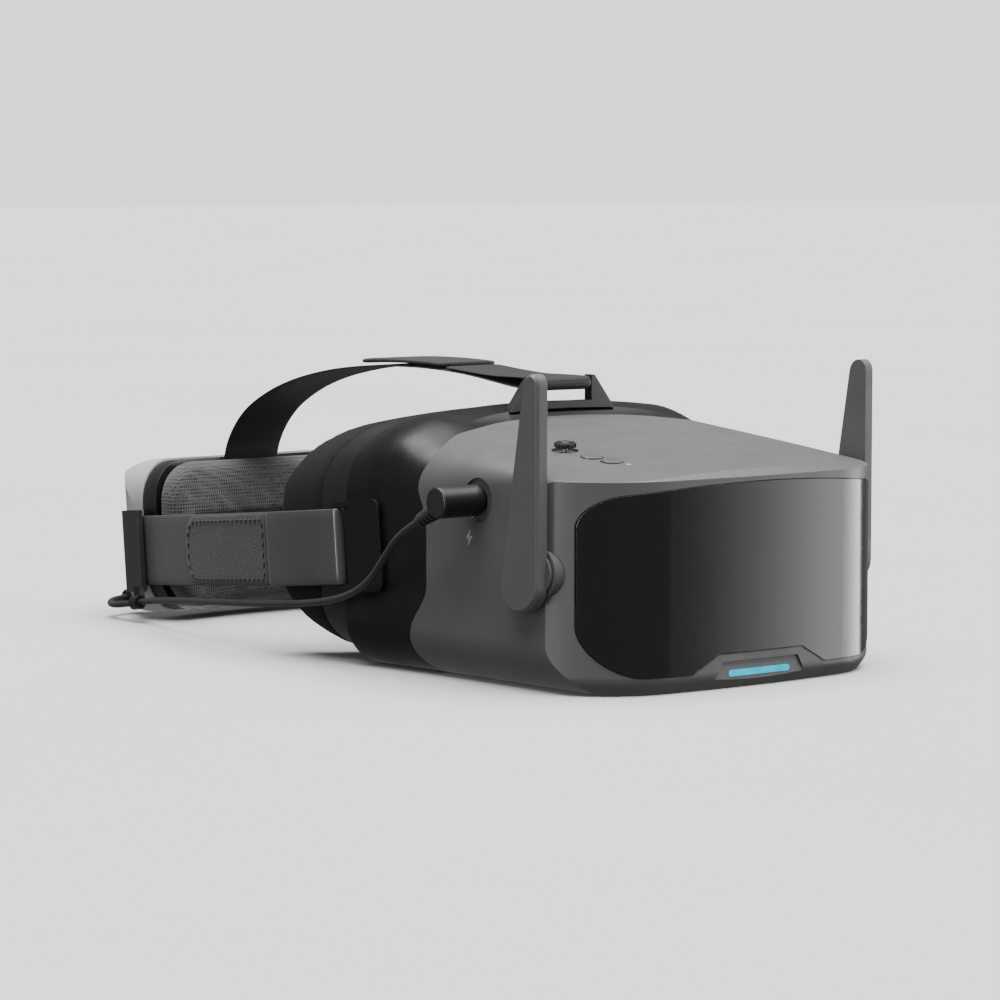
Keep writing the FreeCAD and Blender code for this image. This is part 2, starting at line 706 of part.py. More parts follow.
# ------------------------------------------------------------- plug and lead
def dc_plug():
    length = -85.3 - PLUG_OUT_X
    body = cylinder((PLUG_OUT_X, PLUG_Y, PLUG_Z), (1, 0, 0), PLUG_R, length)
    end = [e for e in body.Edges if e.BoundBox.XMax < PLUG_OUT_X + 0.01]
    body = body.makeFillet(1.0, end)
    collar = cylinder((-85.4, PLUG_Y, PLUG_Z), (1, 0, 0), 4.9, 1.7)
    return joined(body, collar)


def dc_plug_barrel():
    return ring((-83.7, PLUG_Y, PLUG_Z), (1, 0, 0), BARREL_R, 1.3, 11.8)


def lead_direction():
    drop = math.radians(LEAD_DROP)
    return V(0, math.cos(drop), -math.sin(drop))


def strain_relief():
    """Ribbed sleeve on the plug: a plain cone with rings round it."""
    axis = lead_direction()
    start = V(LEAD_EXIT_X, PLUG_Y, PLUG_Z)
    end = V(*LEAD_POINTS[0])
    length = (end - start).Length
    sleeve = Part.makeCone(3.0, 2.0, length - 4.0, start + axis * 4.0, axis)
    rings = 5
    for i in range(rings):
        at = start + axis * (7.6 + i * 2.7)
        sleeve = sleeve.fuse(Part.makeCone(3.7 - i * 0.22, 3.5 - i * 0.22, 1.4, at, axis))
    plug = cylinder((PLUG_OUT_X, PLUG_Y, PLUG_Z), (1, 0, 0), PLUG_R, 20)
    return sleeve.cut(plug)


def cord_tube(points, diameter):
    """Straight runs joined by tangent arcs, each arc as large as its runs allow."""
    nodes = [V(*p) for p in points]
    edges = []
    length = 0.0
    here = nodes[0]
    radii = []
    for i in range(1, len(nodes) - 1):
        back = (nodes[i - 1] - nodes[i])
        ahead = (nodes[i + 1] - nodes[i])
        shorter = min(back.Length, ahead.Length)
        back = back.normalize()
        ahead = ahead.normalize()
        turn = math.pi - back.getAngle(ahead)
        reach = 0.45 * shorter
        radius = reach / math.tan(turn / 2)
        radii.append(radius)
        start = nodes[i] + back * reach
        end = nodes[i] + ahead * reach
        middle = nodes[i] + (back + ahead).normalize() * (radius / math.cos(turn / 2) - radius)
        edges.append(line(here, start))
        edges.append(arc(start, middle, end))
        length += (start - here).Length + radius * turn
        here = end
    edges.append(line(here, nodes[-1]))
    length += (nodes[-1] - here).Length
    first = (nodes[1] - nodes[0]).normalize()
    section = Part.Wire(Part.Circle(nodes[0], first, diameter / 2).toShape())
    tube = Part.Wire(edges).makePipeShell([section], True, True)
    print("lead: length %.1f, volume %.1f against %.1f" % (
        length, tube.Volume, math.pi * diameter ** 2 / 4 * length))
    print("lead: bend radii in diameters", [round(r / diameter, 1) for r in radii])
    return tube


# --------------------------------------------------------------- head straps
def strap_anchor():
    z0 = TILT_Z - STRAP_H / 2 - 0.4
    z1 = TILT_Z + STRAP_H / 2 + 0.4
    plate = box(-87.3, -85.4, 130, 152.6, z0 - 3, z1 + 3)
    edges = [e for e in plate.Edges if abs(e.tangentAt(e.FirstParameter).x) > 0.99]
    plate = plate.makeFillet(4, edges)
    arms = []
    for low in (z0 - 2.4, z1):
        arms.append(polygon([V(-89.0, 158.4, low), V(-85.6, 158.4, low), V(-85.4, 148, low),
                             V(-87.3, 148, low)], V(0, 0, 2.4)))
    bar = cylinder((-STRAP_BAR_X, STRAP_BAR_Y, z0 - 1), (0, 0, 1), STRAP_BAR_R, z1 - z0 + 2)
    shape = joined(tilted(joined(plate, *arms)), tilted(bar))
    return shape.cut(shell_volume(0)).cut(mask_volume(-0.1))


def side_strap():
    r = STRAP_BAR_R + STRAP_T / 2 + 0.1
    wrap = arc_around(-STRAP_BAR_X, STRAP_BAR_Y, r, -180, 0)
    path = STRAP_OUTER + wrap + [(-86.3, 166)] + STRAP_INNER
    band = prism(strip(path, STRAP_T), V(0, 0, STRAP_H))
    band.translate(V(0, 0, TILT_Z - STRAP_H / 2))
    return tilted(band)


def strap_tab():
    """Fastening tab that lies on the strap, with a rounded free end."""
    band = prism(strip(STRAP_TAB, STRAP_T), V(0, 0, STRAP_H - 2 * TAB_MARGIN))
    band.translate(V(0, 0, TILT_Z - STRAP_H / 2 + TAB_MARGIN))
    free_end = STRAP_TAB[-1][1] - 1.0
    ends = [e for e in band.Edges if abs(e.tangentAt(e.FirstParameter).z) < 0.3 and
            e.Length < STRAP_T + 0.2 and e.BoundBox.YMin > free_end]
    return tilted(band.makeFillet(TAB_END_R, ends))


def top_bracket():
    y = TOP_BAR_Y - 2.1
    lean = [V(-29.5, y, 100), V(-17.2, y, 115.8), V(17.2, y, 115.8), V(29.5, y, 100)]
    frame = polygon(lean, V(0, 4.4, 0))
    window = box(-15.4, 15.4, 110, 130, 105.4, 130)
    bar = cylinder((-16.5, TOP_BAR_Y, TOP_BAR_Z), (1, 0, 0), TOP_BAR_R, 33)
    return joined(frame.cut(window), bar).cut(shell_volume(-0.05))


def top_strap():
    r = TOP_BAR_R + TOP_STRAP_T / 2 + 0.1
    wrap = arc_around(TOP_BAR_Y, TOP_BAR_Z, r, 90, 270)
    upper = [(178, 117.35), (162, 116.0), (147, 115.1), (134, 115.1)]
    lower = [(134, 111.2), (145, 112.6), (157, 114.2), (170, 115.5), (184, 116.3), (206, 116.7),
             (228, 116.0), (247, 114.5), (264, 112.2), (283, 108.4), (301, 103.0), (317.5, 95.4),
             (328.0, 87.6), (335.2, 78.6), (338.6, 70.5), (339.3, 65.5)]
    half = TOP_STRAP_W / 2
    band = prism(strip(upper + wrap + lower, TOP_STRAP_T, "YZ"), V(2 * half, 0, 0))
    band.translate(V(-half, 0, 0))
    return band


def top_strap_tab():
    path = [(179.5, 118.25), (192, 118.75), (206, 118.95), (222, 118.7), (238, 117.85)]
    half = TOP_STRAP_W / 2 + 0.3
    band = prism(strip(path, 2.4, "YZ"), V(2 * half, 0, 0))
    band.translate(V(-half, 0, 0))
    return band


# --------------------------------------------------------------- battery box
def bowed(y0, y1, half, bow0, bow1):
    """Slab seen from above with bowed faces, hollow side to the head."""
    def face_y(y, bow, x):
        return y - x * x / (2 * bow)

    a = [V(-half, face_y(y0, bow0, half), 0), V(0, y0, 0), V(half, face_y(y0, bow0, half), 0)]
    b = [V(half, face_y(y1, bow1, half), 0), V(0, y1, 0), V(-half, face_y(y1, bow1, half), 0)]
    return prism([arc(*a), line(a[2], b[0]), arc(*b), line(b[2], a[0])], V(0, 0, 120))


def box_outline(shrink, radius):
    return rounded_plate(-BOX_HALF + shrink, BOX_HALF - shrink, BOX_Z0 + shrink, BOX_Z1 - shrink,
                         radius, 290, 400)


def strap_slot():
    """Where the top strap goes down between the pad and the frame."""
    return box(-TOP_STRAP_W / 2 - 0.4, TOP_STRAP_W / 2 + 0.4, 334.6, 340.0, 80, 100)


def head_pad():
    pad = bowed(PAD_Y, FRAME_Y - 0.3, 70, BACK_RADIUS, BACK_RADIUS).common(box_outline(2.2, PAD_CORNER_R))
    face = [e for e in pad.Edges if e.BoundBox.YMax < FRAME_Y - 3 and e.Length > 3]
    return tilted(pad.makeFillet(5.0, face).cut(strap_slot()))


def battery_frame():
    frame = bowed(FRAME_Y, CASE_Y, 70, BACK_RADIUS, BACK_RADIUS).common(box_outline(1.0, FRAME_CORNER_R))
    frame = frame.cut(box(-36, 36, FRAME_Y + 2.6, 400, 32, 75))
    return tilted(frame.cut(strap_slot()))


def case_volume():
    """Outside of the battery case, rounded towards the back."""
    front_x = BOX_HALF
    front_y = CASE_Y + 0.1 - front_x ** 2 / (2 * BACK_RADIUS)
    turn_y = front_y + 5.5
    back_x = BOX_HALF - 17.0
    back_y = CASE_BACK_Y - CASE_BOW
    outline = [
        arc(V(-front_x, front_y, 0), V(0, CASE_Y + 0.1, 0), V(front_x, front_y, 0)),
        line(V(front_x, front_y, 0), V(front_x, turn_y, 0)),
        corner(V(front_x, turn_y, 0), V(0, 1, 0), V(back_x, back_y, 0), V(-1, 0.12, 0)),
        arc(V(back_x, back_y, 0), V(0, CASE_BACK_Y, 0), V(-back_x, back_y, 0)),
        corner(V(-back_x, back_y, 0), V(-1, -0.12, 0), V(-front_x, turn_y, 0), V(0, -1, 0)),
        line(V(-front_x, turn_y, 0), V(-front_x, front_y, 0))]
    from_above = prism(outline, V(0, 0, 120))
    from_behind = box_outline(0.05, CASE_CORNER_R)
    from_side = case_profile(-BOX_HALF - 1.0)
    return from_above.common(from_side).common(from_behind)


def case_profile(x):
    """The case seen from the side, with its back edges rounded."""
    def at(y, z):
        return V(x, y, z)

    front = FRAME_Y - 30
    low_y = CASE_BACK_Y - LOW_ROUND[0]
    low_z = BOX_Z0 + LOW_ROUND[1]
    top_y = CASE_BACK_Y - TOP_ROUND[0]
    top_z = BOX_Z1 - TOP_ROUND[1]
    return prism([
        line(at(front, BOX_Z0), at(low_y, BOX_Z0)),
        corner(at(low_y, BOX_Z0), V(0, 1, 0), at(CASE_BACK_Y, low_z), V(0, 0, 1)),
        line(at(CASE_BACK_Y, low_z), at(CASE_BACK_Y, top_z)),
        corner(at(CASE_BACK_Y, top_z), V(0, 0, 1), at(top_y, BOX_Z1), V(0, -1, 0)),
        line(at(top_y, BOX_Z1), at(front, BOX_Z1)),
        line(at(front, BOX_Z1), at(front, BOX_Z0))], V(-2 * x, 0, 0))


def battery_case():
    bay_back = CASE_BACK_Y - CASE_WALL
    deep = box(-BAY_HALF, BAY_HALF, FRAME_Y, bay_back, BAY_LOW, BAY_SHOULDER)
    shallow = box(-BAY_HALF, BAY_HALF, FRAME_Y, bay_back - 3.9, BAY_SHOULDER, BAY_HIGH)
    case = case_volume().cut(deep).cut(shallow)
    return tilted(case).cut(outlet_shape(0.05))


def outlet_shape(grow):
    end = V(*LEAD_POINTS[-1])
    inward = (end - V(*LEAD_POINTS[-2])).normalize()
    return Part.makeCylinder(3.4 + grow, 12, end, inward)


def battery_cells():
    cells = []
    for z in CELL_Z:
        cells.append(cylinder((-CELL_LENGTH / 2, CELL_Y, z), (1, 0, 0), CELL_R, CELL_LENGTH))
    return tilted(group(*cells))


def cell_contacts():
    contacts = []
    for x in (-34.4, 33.9):
        for z in CELL_Z:
            plate = cylinder((x, CELL_Y, z), (1, 0, 0), 5.0, 0.5)
            spring_x = x + 0.5 if x < 0 else x - 0.9
            contacts.append(joined(plate, ring((spring_x, CELL_Y, z), (1, 0, 0), 4.0, 2.6, 0.9)))
    return tilted(group(*contacts))


def battery_board():
    return tilted(box(-28, 28, 349.5, 359.0, 78.4, 80.0))


def rear_bracket():
    z0 = TILT_Z - STRAP_H / 2 - 2.8
    z1 = TILT_Z + STRAP_H / 2 + 2.8

    def slab(points, low, high):
        return polygon([V(x, y, low) for x, y in points], V(0, 0, high - low))

    outer = slab([(-66.4, 332.4), (-64.0, 331.9), (-62.6, 338), (-61.4, 346.5), (-58.2, 346.5),
                  (-58.2, 350.4), (-62.4, 350.4), (-64.4, 347)], z0, z1)
    bridge = [(-66.4, 332.4), (-64.0, 331.9), (-58.2, 340.6), (-58.2, 350.4), (-62.4, 350.4),
              (-64.4, 347)]
    low = slab(bridge, z0, z0 + 2.4)
    high = slab(bridge, z1 - 2.4, z1)
    frame = bowed(FRAME_Y, CASE_Y, 70, BACK_RADIUS, BACK_RADIUS)
    keep_out = case_volume().fuse(frame.common(box_outline(0.9, FRAME_CORNER_R)))
    return tilted(joined(outer, low, high).cut(keep_out))


def cable_clip():
    a = V(*LEAD_POINTS[10])
    b = V(*LEAD_POINTS[11])
    way = (b - a).normalize()
    start = a + way * 9.5
    body = Part.makeCylinder(3.1, 5.6, start, way)
    hole = Part.makeCylinder(LEAD_D / 2 + 0.12, 9.0, start - way, way)
    post = box(-68.2, -65.4, 329.0, 333.6, 10.6, 15.4)
    return joined(body, post).cut(hole).cut(pieces["rear_bracket_right"])


# ------------------------------------------------------------------- screws
def housing_screws():
    screws = []
    for x, z in screw_positions():
        head = cylinder((x, BULKHEAD_Y + 2.5, z), (0, 1, 0), 2.4, 1.6)
        shank = cylinder((x, BULKHEAD_Y - 14, z), (0, 1, 0), 0.95, 16.6)
        screws.append(joined(head, shank))
    return group(*screws)


# ------------------------------------------------------------------ assembly
def build():
    pieces["front_housing"] = front_housing()
    pieces["visor"] = visor()
    pieces["light_bar"] = light_bar(0, 0.9, 3.8)
    pieces["led_board"] = led_board()
    pieces["rear_shell"] = rear_shell()
    pieces["face_frame"] = face_frame()
    pieces["face_foam"] = face_foam()
    pieces["nose_flap"] = nose_flap()
    pieces["fresnel_lens"] = fresnel_lens()
    pieces["lens_frame"] = lens_frame()
    pieces["light_hood"] = light_hood()
    pieces["display_panel"] = display_panel()
    pieces["display_frame"] = display_frame()
    pieces["main_board"] = main_board()
    pieces["receiver_module"] = receiver_module()
    pieces["card_slot"] = card_slot()
    pieces["dc_socket"] = dc_socket()
    pieces["control_board"] = control_board()
    pieces["key_switches"] = key_switches()
    pieces["joystick_base"] = joystick_base()
    pieces["joystick_carrier"] = joystick_carrier()
    pieces["joystick_gimbal"] = joystick_gimbal()
    pieces["joystick_stem"] = joystick_stem()
    pieces["joystick_cap"] = joystick_cap()
    pieces["button_rear"] = button(REAR_BUTTON_AT)
    pieces["button_front"] = button(FRONT_BUTTON_AT)
    pieces["status_led"] = status_led()
    both_sides("antenna_blade", antenna_blade())
    both_sides("antenna_element", antenna_element())
    pieces["antenna_pivots"] = antenna_pivots()
    pieces["antenna_washers"] = antenna_washers()
    both_sides("antenna_clip", antenna_clip())
    pieces["dc_plug"] = dc_plug()
    pieces["dc_plug_barrel"] = dc_plug_barrel()
    pieces["strain_relief"] = strain_relief()
    pieces["dc_lead"] = cord_tube(LEAD_POINTS, LEAD_D)
    both_sides("strap_anchor", strap_anchor())
    both_sides("side_strap", side_strap())
    both_sides("strap_tab", strap_tab())
    pieces["top_bracket"] = top_bracket()
    pieces["top_strap"] = top_strap()
    pieces["top_strap_tab"] = top_strap_tab()
    pieces["head_pad"] = head_pad()
    pieces["battery_frame"] = battery_frame()
    pieces["battery_case"] = battery_case()
    pieces["power_outlet"] = outlet_shape(0)
    pieces["battery_cells"] = battery_cells()
    pieces["cell_contacts"] = cell_contacts()
    pieces["battery_board"] = battery_board()
    both_sides("rear_bracket", rear_bracket())
    pieces["cable_clip"] = cable_clip()
    pieces["housing_screws"] = housing_screws()


def export():
    os.makedirs("parts", exist_ok=True)
    for name, shape in pieces.items():
        shape = shape.copy()
        shape.translate(V(0, -ORIGIN_Y, 0))
        print("%-24s solids %d  valid %s  volume %.0f" % (
            name, len(shape.Solids), shape.isValid(), shape.Volume))
        shape.exportStep("parts/" + name + ".step")


build()
export()
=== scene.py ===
import math

import bmesh
import bpy
from mathutils import Matrix, Vector


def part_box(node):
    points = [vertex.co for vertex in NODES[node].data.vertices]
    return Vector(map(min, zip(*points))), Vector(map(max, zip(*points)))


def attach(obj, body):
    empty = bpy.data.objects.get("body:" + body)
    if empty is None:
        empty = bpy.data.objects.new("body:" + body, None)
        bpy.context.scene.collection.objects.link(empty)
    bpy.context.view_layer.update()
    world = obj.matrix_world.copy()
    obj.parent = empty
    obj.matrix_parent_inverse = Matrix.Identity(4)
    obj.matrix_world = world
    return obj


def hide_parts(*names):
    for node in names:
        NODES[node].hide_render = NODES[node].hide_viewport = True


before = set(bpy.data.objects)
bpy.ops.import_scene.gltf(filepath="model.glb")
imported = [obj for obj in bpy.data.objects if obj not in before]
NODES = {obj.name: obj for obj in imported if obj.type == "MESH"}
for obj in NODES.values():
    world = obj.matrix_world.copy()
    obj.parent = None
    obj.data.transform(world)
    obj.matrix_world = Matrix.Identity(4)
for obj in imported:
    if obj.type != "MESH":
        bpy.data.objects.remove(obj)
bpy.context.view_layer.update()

# Looks of the video goggles.  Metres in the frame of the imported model.  Places are
# given with at(x, y, z) in millimetres, y counted from the visor's front as in part.py.

ROOT = "goggles"

MM = 0.001
ORIGIN_Y = 184.0

# side straps and battery box lie in a frame tilted down towards the back
TILT = math.radians(5.4)
TILT_Y = 155.0
TILT_Z = 48.0
STRAP_H = 30.8
STRAP_T = 1.5
STRAP_BAR = (-87.2, 157.4)
STRAP_WRAP_R = 2.15
TOP_STRAP_W = 29.6
TOP_STRAP_T = 1.0
TOP_BAR = (121.5, 112.7)
TOP_WRAP_R = 2.3

LEAD_D = 2.9
LEAD_POINTS = [
    (-98.0, 92.1, 62.97), (-98.0, 104.0, 57.4), (-97.0, 114.5, 47.5), (-96.0, 125.0, 37.5),
    (-95.0, 137.0, 31.0), (-94.0, 155.0, 26.2), (-93.0, 178.0, 23.0), (-90.0, 214.0, 19.8),
    (-84.5, 250.0, 17.0), (-77.0, 284.0, 14.2), (-69.6, 318.0, 10.6), (-68.0, 338.0, 7.3),
    (-68.8, 348.5, 5.9), (-66.2, 356.2, 6.1), (-60.4, 360.4, 6.9), (-53.2, 361.4, 7.3)]

# camera at the photograph's viewing angle
CAMERA_AT = (-1042.5, -1103.2, 203.0)
CAMERA_TURN = math.radians(39.526)
CAMERA_DROP = math.radians(4.927)
CAMERA_LENS = 140.7


# stage
FLOOR_GLOW = 1.62         # how bright the floor looks, so the sky can match it
AROUND_GLOW = 0.22        # what lights the object from all round
FLOOR_SIZE = 14.0
FLOOR_GAP = 0.0004        # keeps the floor just below the goggles
SUN_POWER = 6.0
SUN_SPREAD = math.radians(75)

# a wave texture of scale 1 repeats this often per metre
WAVES_AT_SCALE_ONE = 3.183


def at(x, y, z):
    return Vector((x, y - ORIGIN_Y, z)) * MM


def tilted(x, y, z):
    """A point given in the level strap frame, where it lies on the goggles."""
    dy = y - TILT_Y
    dz = z - TILT_Z
    c = math.cos(-TILT)
    s = math.sin(-TILT)
    return at(x, TILT_Y + c * dy - s * dz, TILT_Z + s * dy + c * dz)


UP_TILTED = Vector((0, -math.sin(-TILT), math.cos(-TILT)))


# ------------------------------------------------------------ node materials
class Finish:
    """A procedural material, built up from named steps."""

    def __init__(self, name, roughness, metallic=0.0, **sockets):
        self.material = bpy.data.materials.new(name)
        self.material.use_nodes = True
        self.nodes = self.material.node_tree.nodes
        self.links = self.material.node_tree.links
        self.shader = self.nodes["Principled BSDF"]
        self.shader.inputs["Roughness"].default_value = roughness
        self.shader.inputs["Metallic"].default_value = metallic
        for socket, value in sockets.items():
            self.shader.inputs[socket.replace("_", " ")].default_value = value
        self.normal = None
        self.space = self.nodes.new("ShaderNodeTexCoord").outputs["Object"]

    def add(self, kind, **values):
        node = self.nodes.new("ShaderNode" + kind)
        for key, value in values.items():
            setattr(node, key, value)
        return node

    def strap_space(self):
        """Coordinates that run along and across a strap, in metres."""
        self.space = self.add("UVMap", uv_map="strap").outputs["UV"]

    def stretched(self, x, y, z):
        mapping = self.add("Mapping")
        mapping.inputs["Scale"].default_value = (x, y, z)
        self.links.new(self.space, mapping.inputs["Vector"])
        return mapping.outputs["Vector"]

    def noise(self, size_mm, detail=3.0, space=None, roughness=0.55):
        node = self.add("TexNoise")
        node.inputs["Scale"].default_value = 1000.0 / size_mm
        node.inputs["Detail"].default_value = detail
        node.inputs["Roughness"].default_value = roughness
        self.links.new(space or self.space, node.inputs["Vector"])
        return node.outputs["Fac"]

    def cells(self, size_mm, feature="F1", space=None, scatter=1.0):
        node = self.add("TexVoronoi", feature=feature)
        node.inputs["Scale"].default_value = 1000.0 / size_mm
        node.inputs["Randomness"].default_value = scatter
        self.links.new(space or self.space, node.inputs["Vector"])
        return node.outputs["Distance"]

    def ribs(self, pitch_mm, direction="X", space=None, wobble=0.0):
        node = self.add("TexWave", wave_type="BANDS", bands_direction=direction)
        node.inputs["Scale"].default_value = 1000.0 / pitch_mm / WAVES_AT_SCALE_ONE
        node.inputs["Distortion"].default_value = wobble
        self.links.new(space or self.space, node.inputs["Vector"])
        return node.outputs["Fac"]

    def combine(self, a, b, operation="MULTIPLY"):
        node = self.add("Math", operation=operation)
        for socket, value in zip(node.inputs, (a, b)):
            if isinstance(value, (int, float)):
                socket.default_value = value
            else:
                self.links.new(value, socket)
        return node.outputs["Value"]

    def mapped(self, value, low, high, from_low=0.3, from_high=0.7):
        node = self.add("MapRange")
        for name, number in (("From Min", from_low), ("From Max", from_high),
                             ("To Min", low), ("To Max", high)):
            node.inputs[name].default_value = number
        self.links.new(value, node.inputs["Value"])
        return node.outputs["Result"]

    def blend(self, factor, a, b):
        node = self.add("Mix", data_type="RGBA")
        self.links.new(factor, node.inputs["Factor"])
        for socket, value in ((node.inputs["A"], a), (node.inputs["B"], b)):
            if isinstance(value, tuple):
                socket.default_value = (*value, 1.0)
            else:
                self.links.new(value, socket)
        return node.outputs["Result"]

    def color(self, output):
        self.links.new(output, self.shader.inputs["Base Color"])
        return self

    def rough(self, output):
        self.links.new(output, self.shader.inputs["Roughness"])
        return self

    def rounded(self, radius_mm):
        """Soft highlight along every hard edge."""
        node = self.add("Bevel", samples=6)
        node.inputs["Radius"].default_value = radius_mm * MM
        self.normal = node.outputs["Normal"]
        return self.normal

    def bump(self, height, depth_mm, strength=1.0):
        node = self.add("Bump")
        node.inputs["Distance"].default_value = depth_mm * MM
        node.inputs["Strength"].default_value = strength
        self.links.new(height, node.inputs["Height"])
        if self.normal:
            self.links.new(self.normal, node.inputs["Normal"])
        self.normal = node.outputs["Normal"]
        self.links.new(self.normal, self.shader.inputs["Normal"])
        return self

    def edge_mask(self, radius_mm):
        """1 on worn convex edges, 0 on flat faces."""
        bevel = self.add("Bevel", samples=6)
        bevel.inputs["Radius"].default_value = radius_mm * MM
        geometry = self.add("NewGeometry")
        dot = self.add("VectorMath", operation="DOT_PRODUCT")
        self.links.new(bevel.outputs["Normal"], dot.inputs[0])
        self.links.new(geometry.outputs["Normal"], dot.inputs[1])
        return self.mapped(dot.outputs["Value"], 1.0, 0.0, 0.80, 0.99)


def scaled(color, factor):
    return tuple(channel * factor for channel in color)


def moulded(name, color, roughness, grain_mm=0.45, grain_depth=0.02, wear=0.25, **sockets):
    """Injection-moulded plastic: spark-eroded grain, faint tone drift, rubbed edges."""
    finish = Finish(name, roughness, **sockets)
    drift = finish.mapped(finish.noise(38.0, 2.0), 0.0, 1.0)
    tone = finish.blend(drift, scaled(color, 0.95), scaled(color, 1.05))
    speck = finish.mapped(finish.noise(0.8, 2.0), 0.0, 0.35, 0.45, 0.7)
    tone = finish.blend(speck, tone, scaled(color, 1.16))
    smudge = finish.mapped(finish.noise(15.0, 4.0), 0.0, 1.0, 0.4, 0.75)
    edge = finish.combine(finish.edge_mask(0.5), wear)
    edge = finish.combine(edge, finish.mapped(finish.noise(3.0, 3.0), 0.2, 1.0))
    finish.color(finish.blend(edge, tone, scaled(color, 1.9)))
    finish.rough(finish.mapped(smudge, roughness - 0.05, roughness + 0.07, 0.0, 1.0))
    finish.rounded(0.35)
    finish.bump(finish.cells(grain_mm), grain_depth, 0.55)
    return finish.bump(finish.noise(9.0, 1.0), 0.05, 0.25).material


def visor_plastic():
    """Smoked gloss acrylic with fine polishing swirls and a few dust specks."""
    finish = Finish("visor_gloss", 0.16, IOR=1.49, Specular_IOR_Level=0.6)
    haze = finish.mapped(finish.noise(26.0, 2.0), 0.0, 1.0)
    tone = finish.blend(haze, (0.010, 0.010, 0.011), (0.013, 0.013, 0.0145))
    dust = finish.mapped(finish.cells(2.4), 1.0, 0.0, 0.02, 0.05)
    finish.color(finish.blend(dust, tone, (0.06, 0.06, 0.062)))
    swirl = finish.noise(0.5, 2.0, finish.stretched(0.15, 1.0, 1.0))
    finish.rough(finish.mapped(swirl, 0.14, 0.20))
    finish.rounded(0.3)
    return finish.bump(finish.noise(22.0, 0.0), 0.015, 0.15).material


def glowing():
    """Light pipe lit from behind, its glow drifting a little in tone."""
    finish = Finish("light_cyan", 0.5, Specular_IOR_Level=0.1)
    drift = finish.mapped(finish.noise(5.0, 1.0), 0.0, 1.0)
    tone = finish.blend(drift, (0.0, 0.26, 0.38), (0.0, 0.36, 0.52))
    finish.color(tone)
    finish.links.new(tone, finish.shader.inputs["Emission Color"])
    finish.shader.inputs["Emission Strength"].default_value = 1.6
    return finish.bump(finish.noise(0.8, 2.0), 0.02, 0.3).material


def status_light():
    finish = Finish("status_light", 0.3)
    tone = finish.blend(finish.noise(0.5, 1.0), (0.55, 0.56, 0.57), (0.75, 0.76, 0.78))
    finish.color(tone)
    return finish.bump(finish.noise(0.4, 1.0), 0.01, 0.3).material


def webbing(name, color, rib_mm, rib_depth, sheen=0.25, roughness=0.6, yarn=1.25):
    """Woven elastic: cross ribs and lengthwise yarns."""
    finish = Finish(name, roughness, Sheen_Weight=sheen, Sheen_Roughness=0.4)
    finish.strap_space()
    ribs = finish.ribs(rib_mm, "X", wobble=0.6)
    yarns = finish.ribs(0.8, "Y", wobble=0.8)
    weave = finish.combine(ribs, finish.mapped(yarns, 0.55, 1.0, 0.0, 1.0))
    fluff = finish.noise(0.6, 3.0)
    drift = finish.mapped(finish.noise(18.0, 3.0), 0.0, 1.0)
    base = finish.blend(drift, scaled(color, 0.9), scaled(color, 1.1))
    # painted shade: the low grooves between the ribs are painted darker, down to 0.72 of the strap
    # colour
    tone = finish.blend(finish.mapped(weave, 0.0, 0.6, 0.0, 1.0), scaled(color, 0.72), base)
    finish.color(finish.blend(finish.mapped(fluff, 0.0, 0.5), tone, scaled(color, yarn)))
    finish.rough(finish.mapped(weave, roughness + 0.1, roughness - 0.08, 0.0, 1.0))
    finish.bump(weave, rib_depth, 0.6)
    return finish.bump(fluff, 0.05, 0.35).material


def loop_fabric(name, color, fuzz_mm=0.7):
    """Brushed hook-and-loop cloth: dense little loops that catch the light."""
    finish = Finish(name, 0.85, Sheen_Weight=0.2, Sheen_Roughness=0.5)
    finish.strap_space()
    loops = finish.cells(fuzz_mm)
    curls = finish.noise(0.5, 4.0)
    drift = finish.mapped(finish.noise(8.0, 3.0), 0.0, 1.0)
    base = finish.blend(drift, scaled(color, 0.85), scaled(color, 1.15))
    # painted highlight: the raised loop tops are painted lighter, up to 1.7 times the cloth colour
    finish.color(finish.blend(finish.mapped(loops, 0.0, 0.8, 0.1, 0.6), scaled(color, 1.7), base))
    finish.bump(loops, 0.22, 0.8)
    return finish.bump(curls, 0.15, 0.6).material


def spacer_mesh():
    """Breathable pad cloth: rows of small open cells, with painted shade, near-black, down in the
    holes.
    """
    finish = Finish("pad_mesh", 0.8, Sheen_Weight=0.3, Sheen_Roughness=0.5)
    staggered = finish.stretched(1.0, 1.0, 0.8)
    holes = finish.cells(1.25, space=staggered, scatter=0.06)
    open_cell = finish.mapped(holes, 0.0, 1.0, 0.18, 0.5)
    yarn = finish.noise(0.5, 3.0)
    drift = finish.mapped(finish.noise(24.0, 2.0), 0.0, 1.0)
    thread = finish.blend(drift, (0.066, 0.066, 0.067), (0.090, 0.090, 0.092))
    # painted shade: the open cells are painted near-black for the dark inside the holes
    finish.color(finish.blend(open_cell, (0.014, 0.014, 0.0145), thread))
    finish.rough(finish.mapped(yarn, 0.65, 0.9))
    finish.bump(open_cell, 0.5, 0.8)
    return finish.bump(yarn, 0.06, 0.4).material


def mask_fabric():
    """Soft brushed cloth laminated on the foam of the mask."""
    finish = Finish("foam_cloth", 0.86, Sheen_Weight=0.03, Sheen_Roughness=0.45,
                    Specular_IOR_Level=0.2)
    knit = finish.cells(0.75, scatter=0.6)
    nap = finish.noise(1.6, 4.0)
    drift = finish.mapped(finish.noise(30.0, 3.0), 0.0, 1.0)
    base = finish.blend(drift, (0.008, 0.008, 0.0085), (0.011, 0.011, 0.012))
    finish.color(finish.blend(finish.mapped(nap, 0.0, 0.5), base, (0.018, 0.018, 0.019)))
    finish.bump(knit, 0.12, 0.5)
    return finish.bump(nap, 0.12, 0.35).material


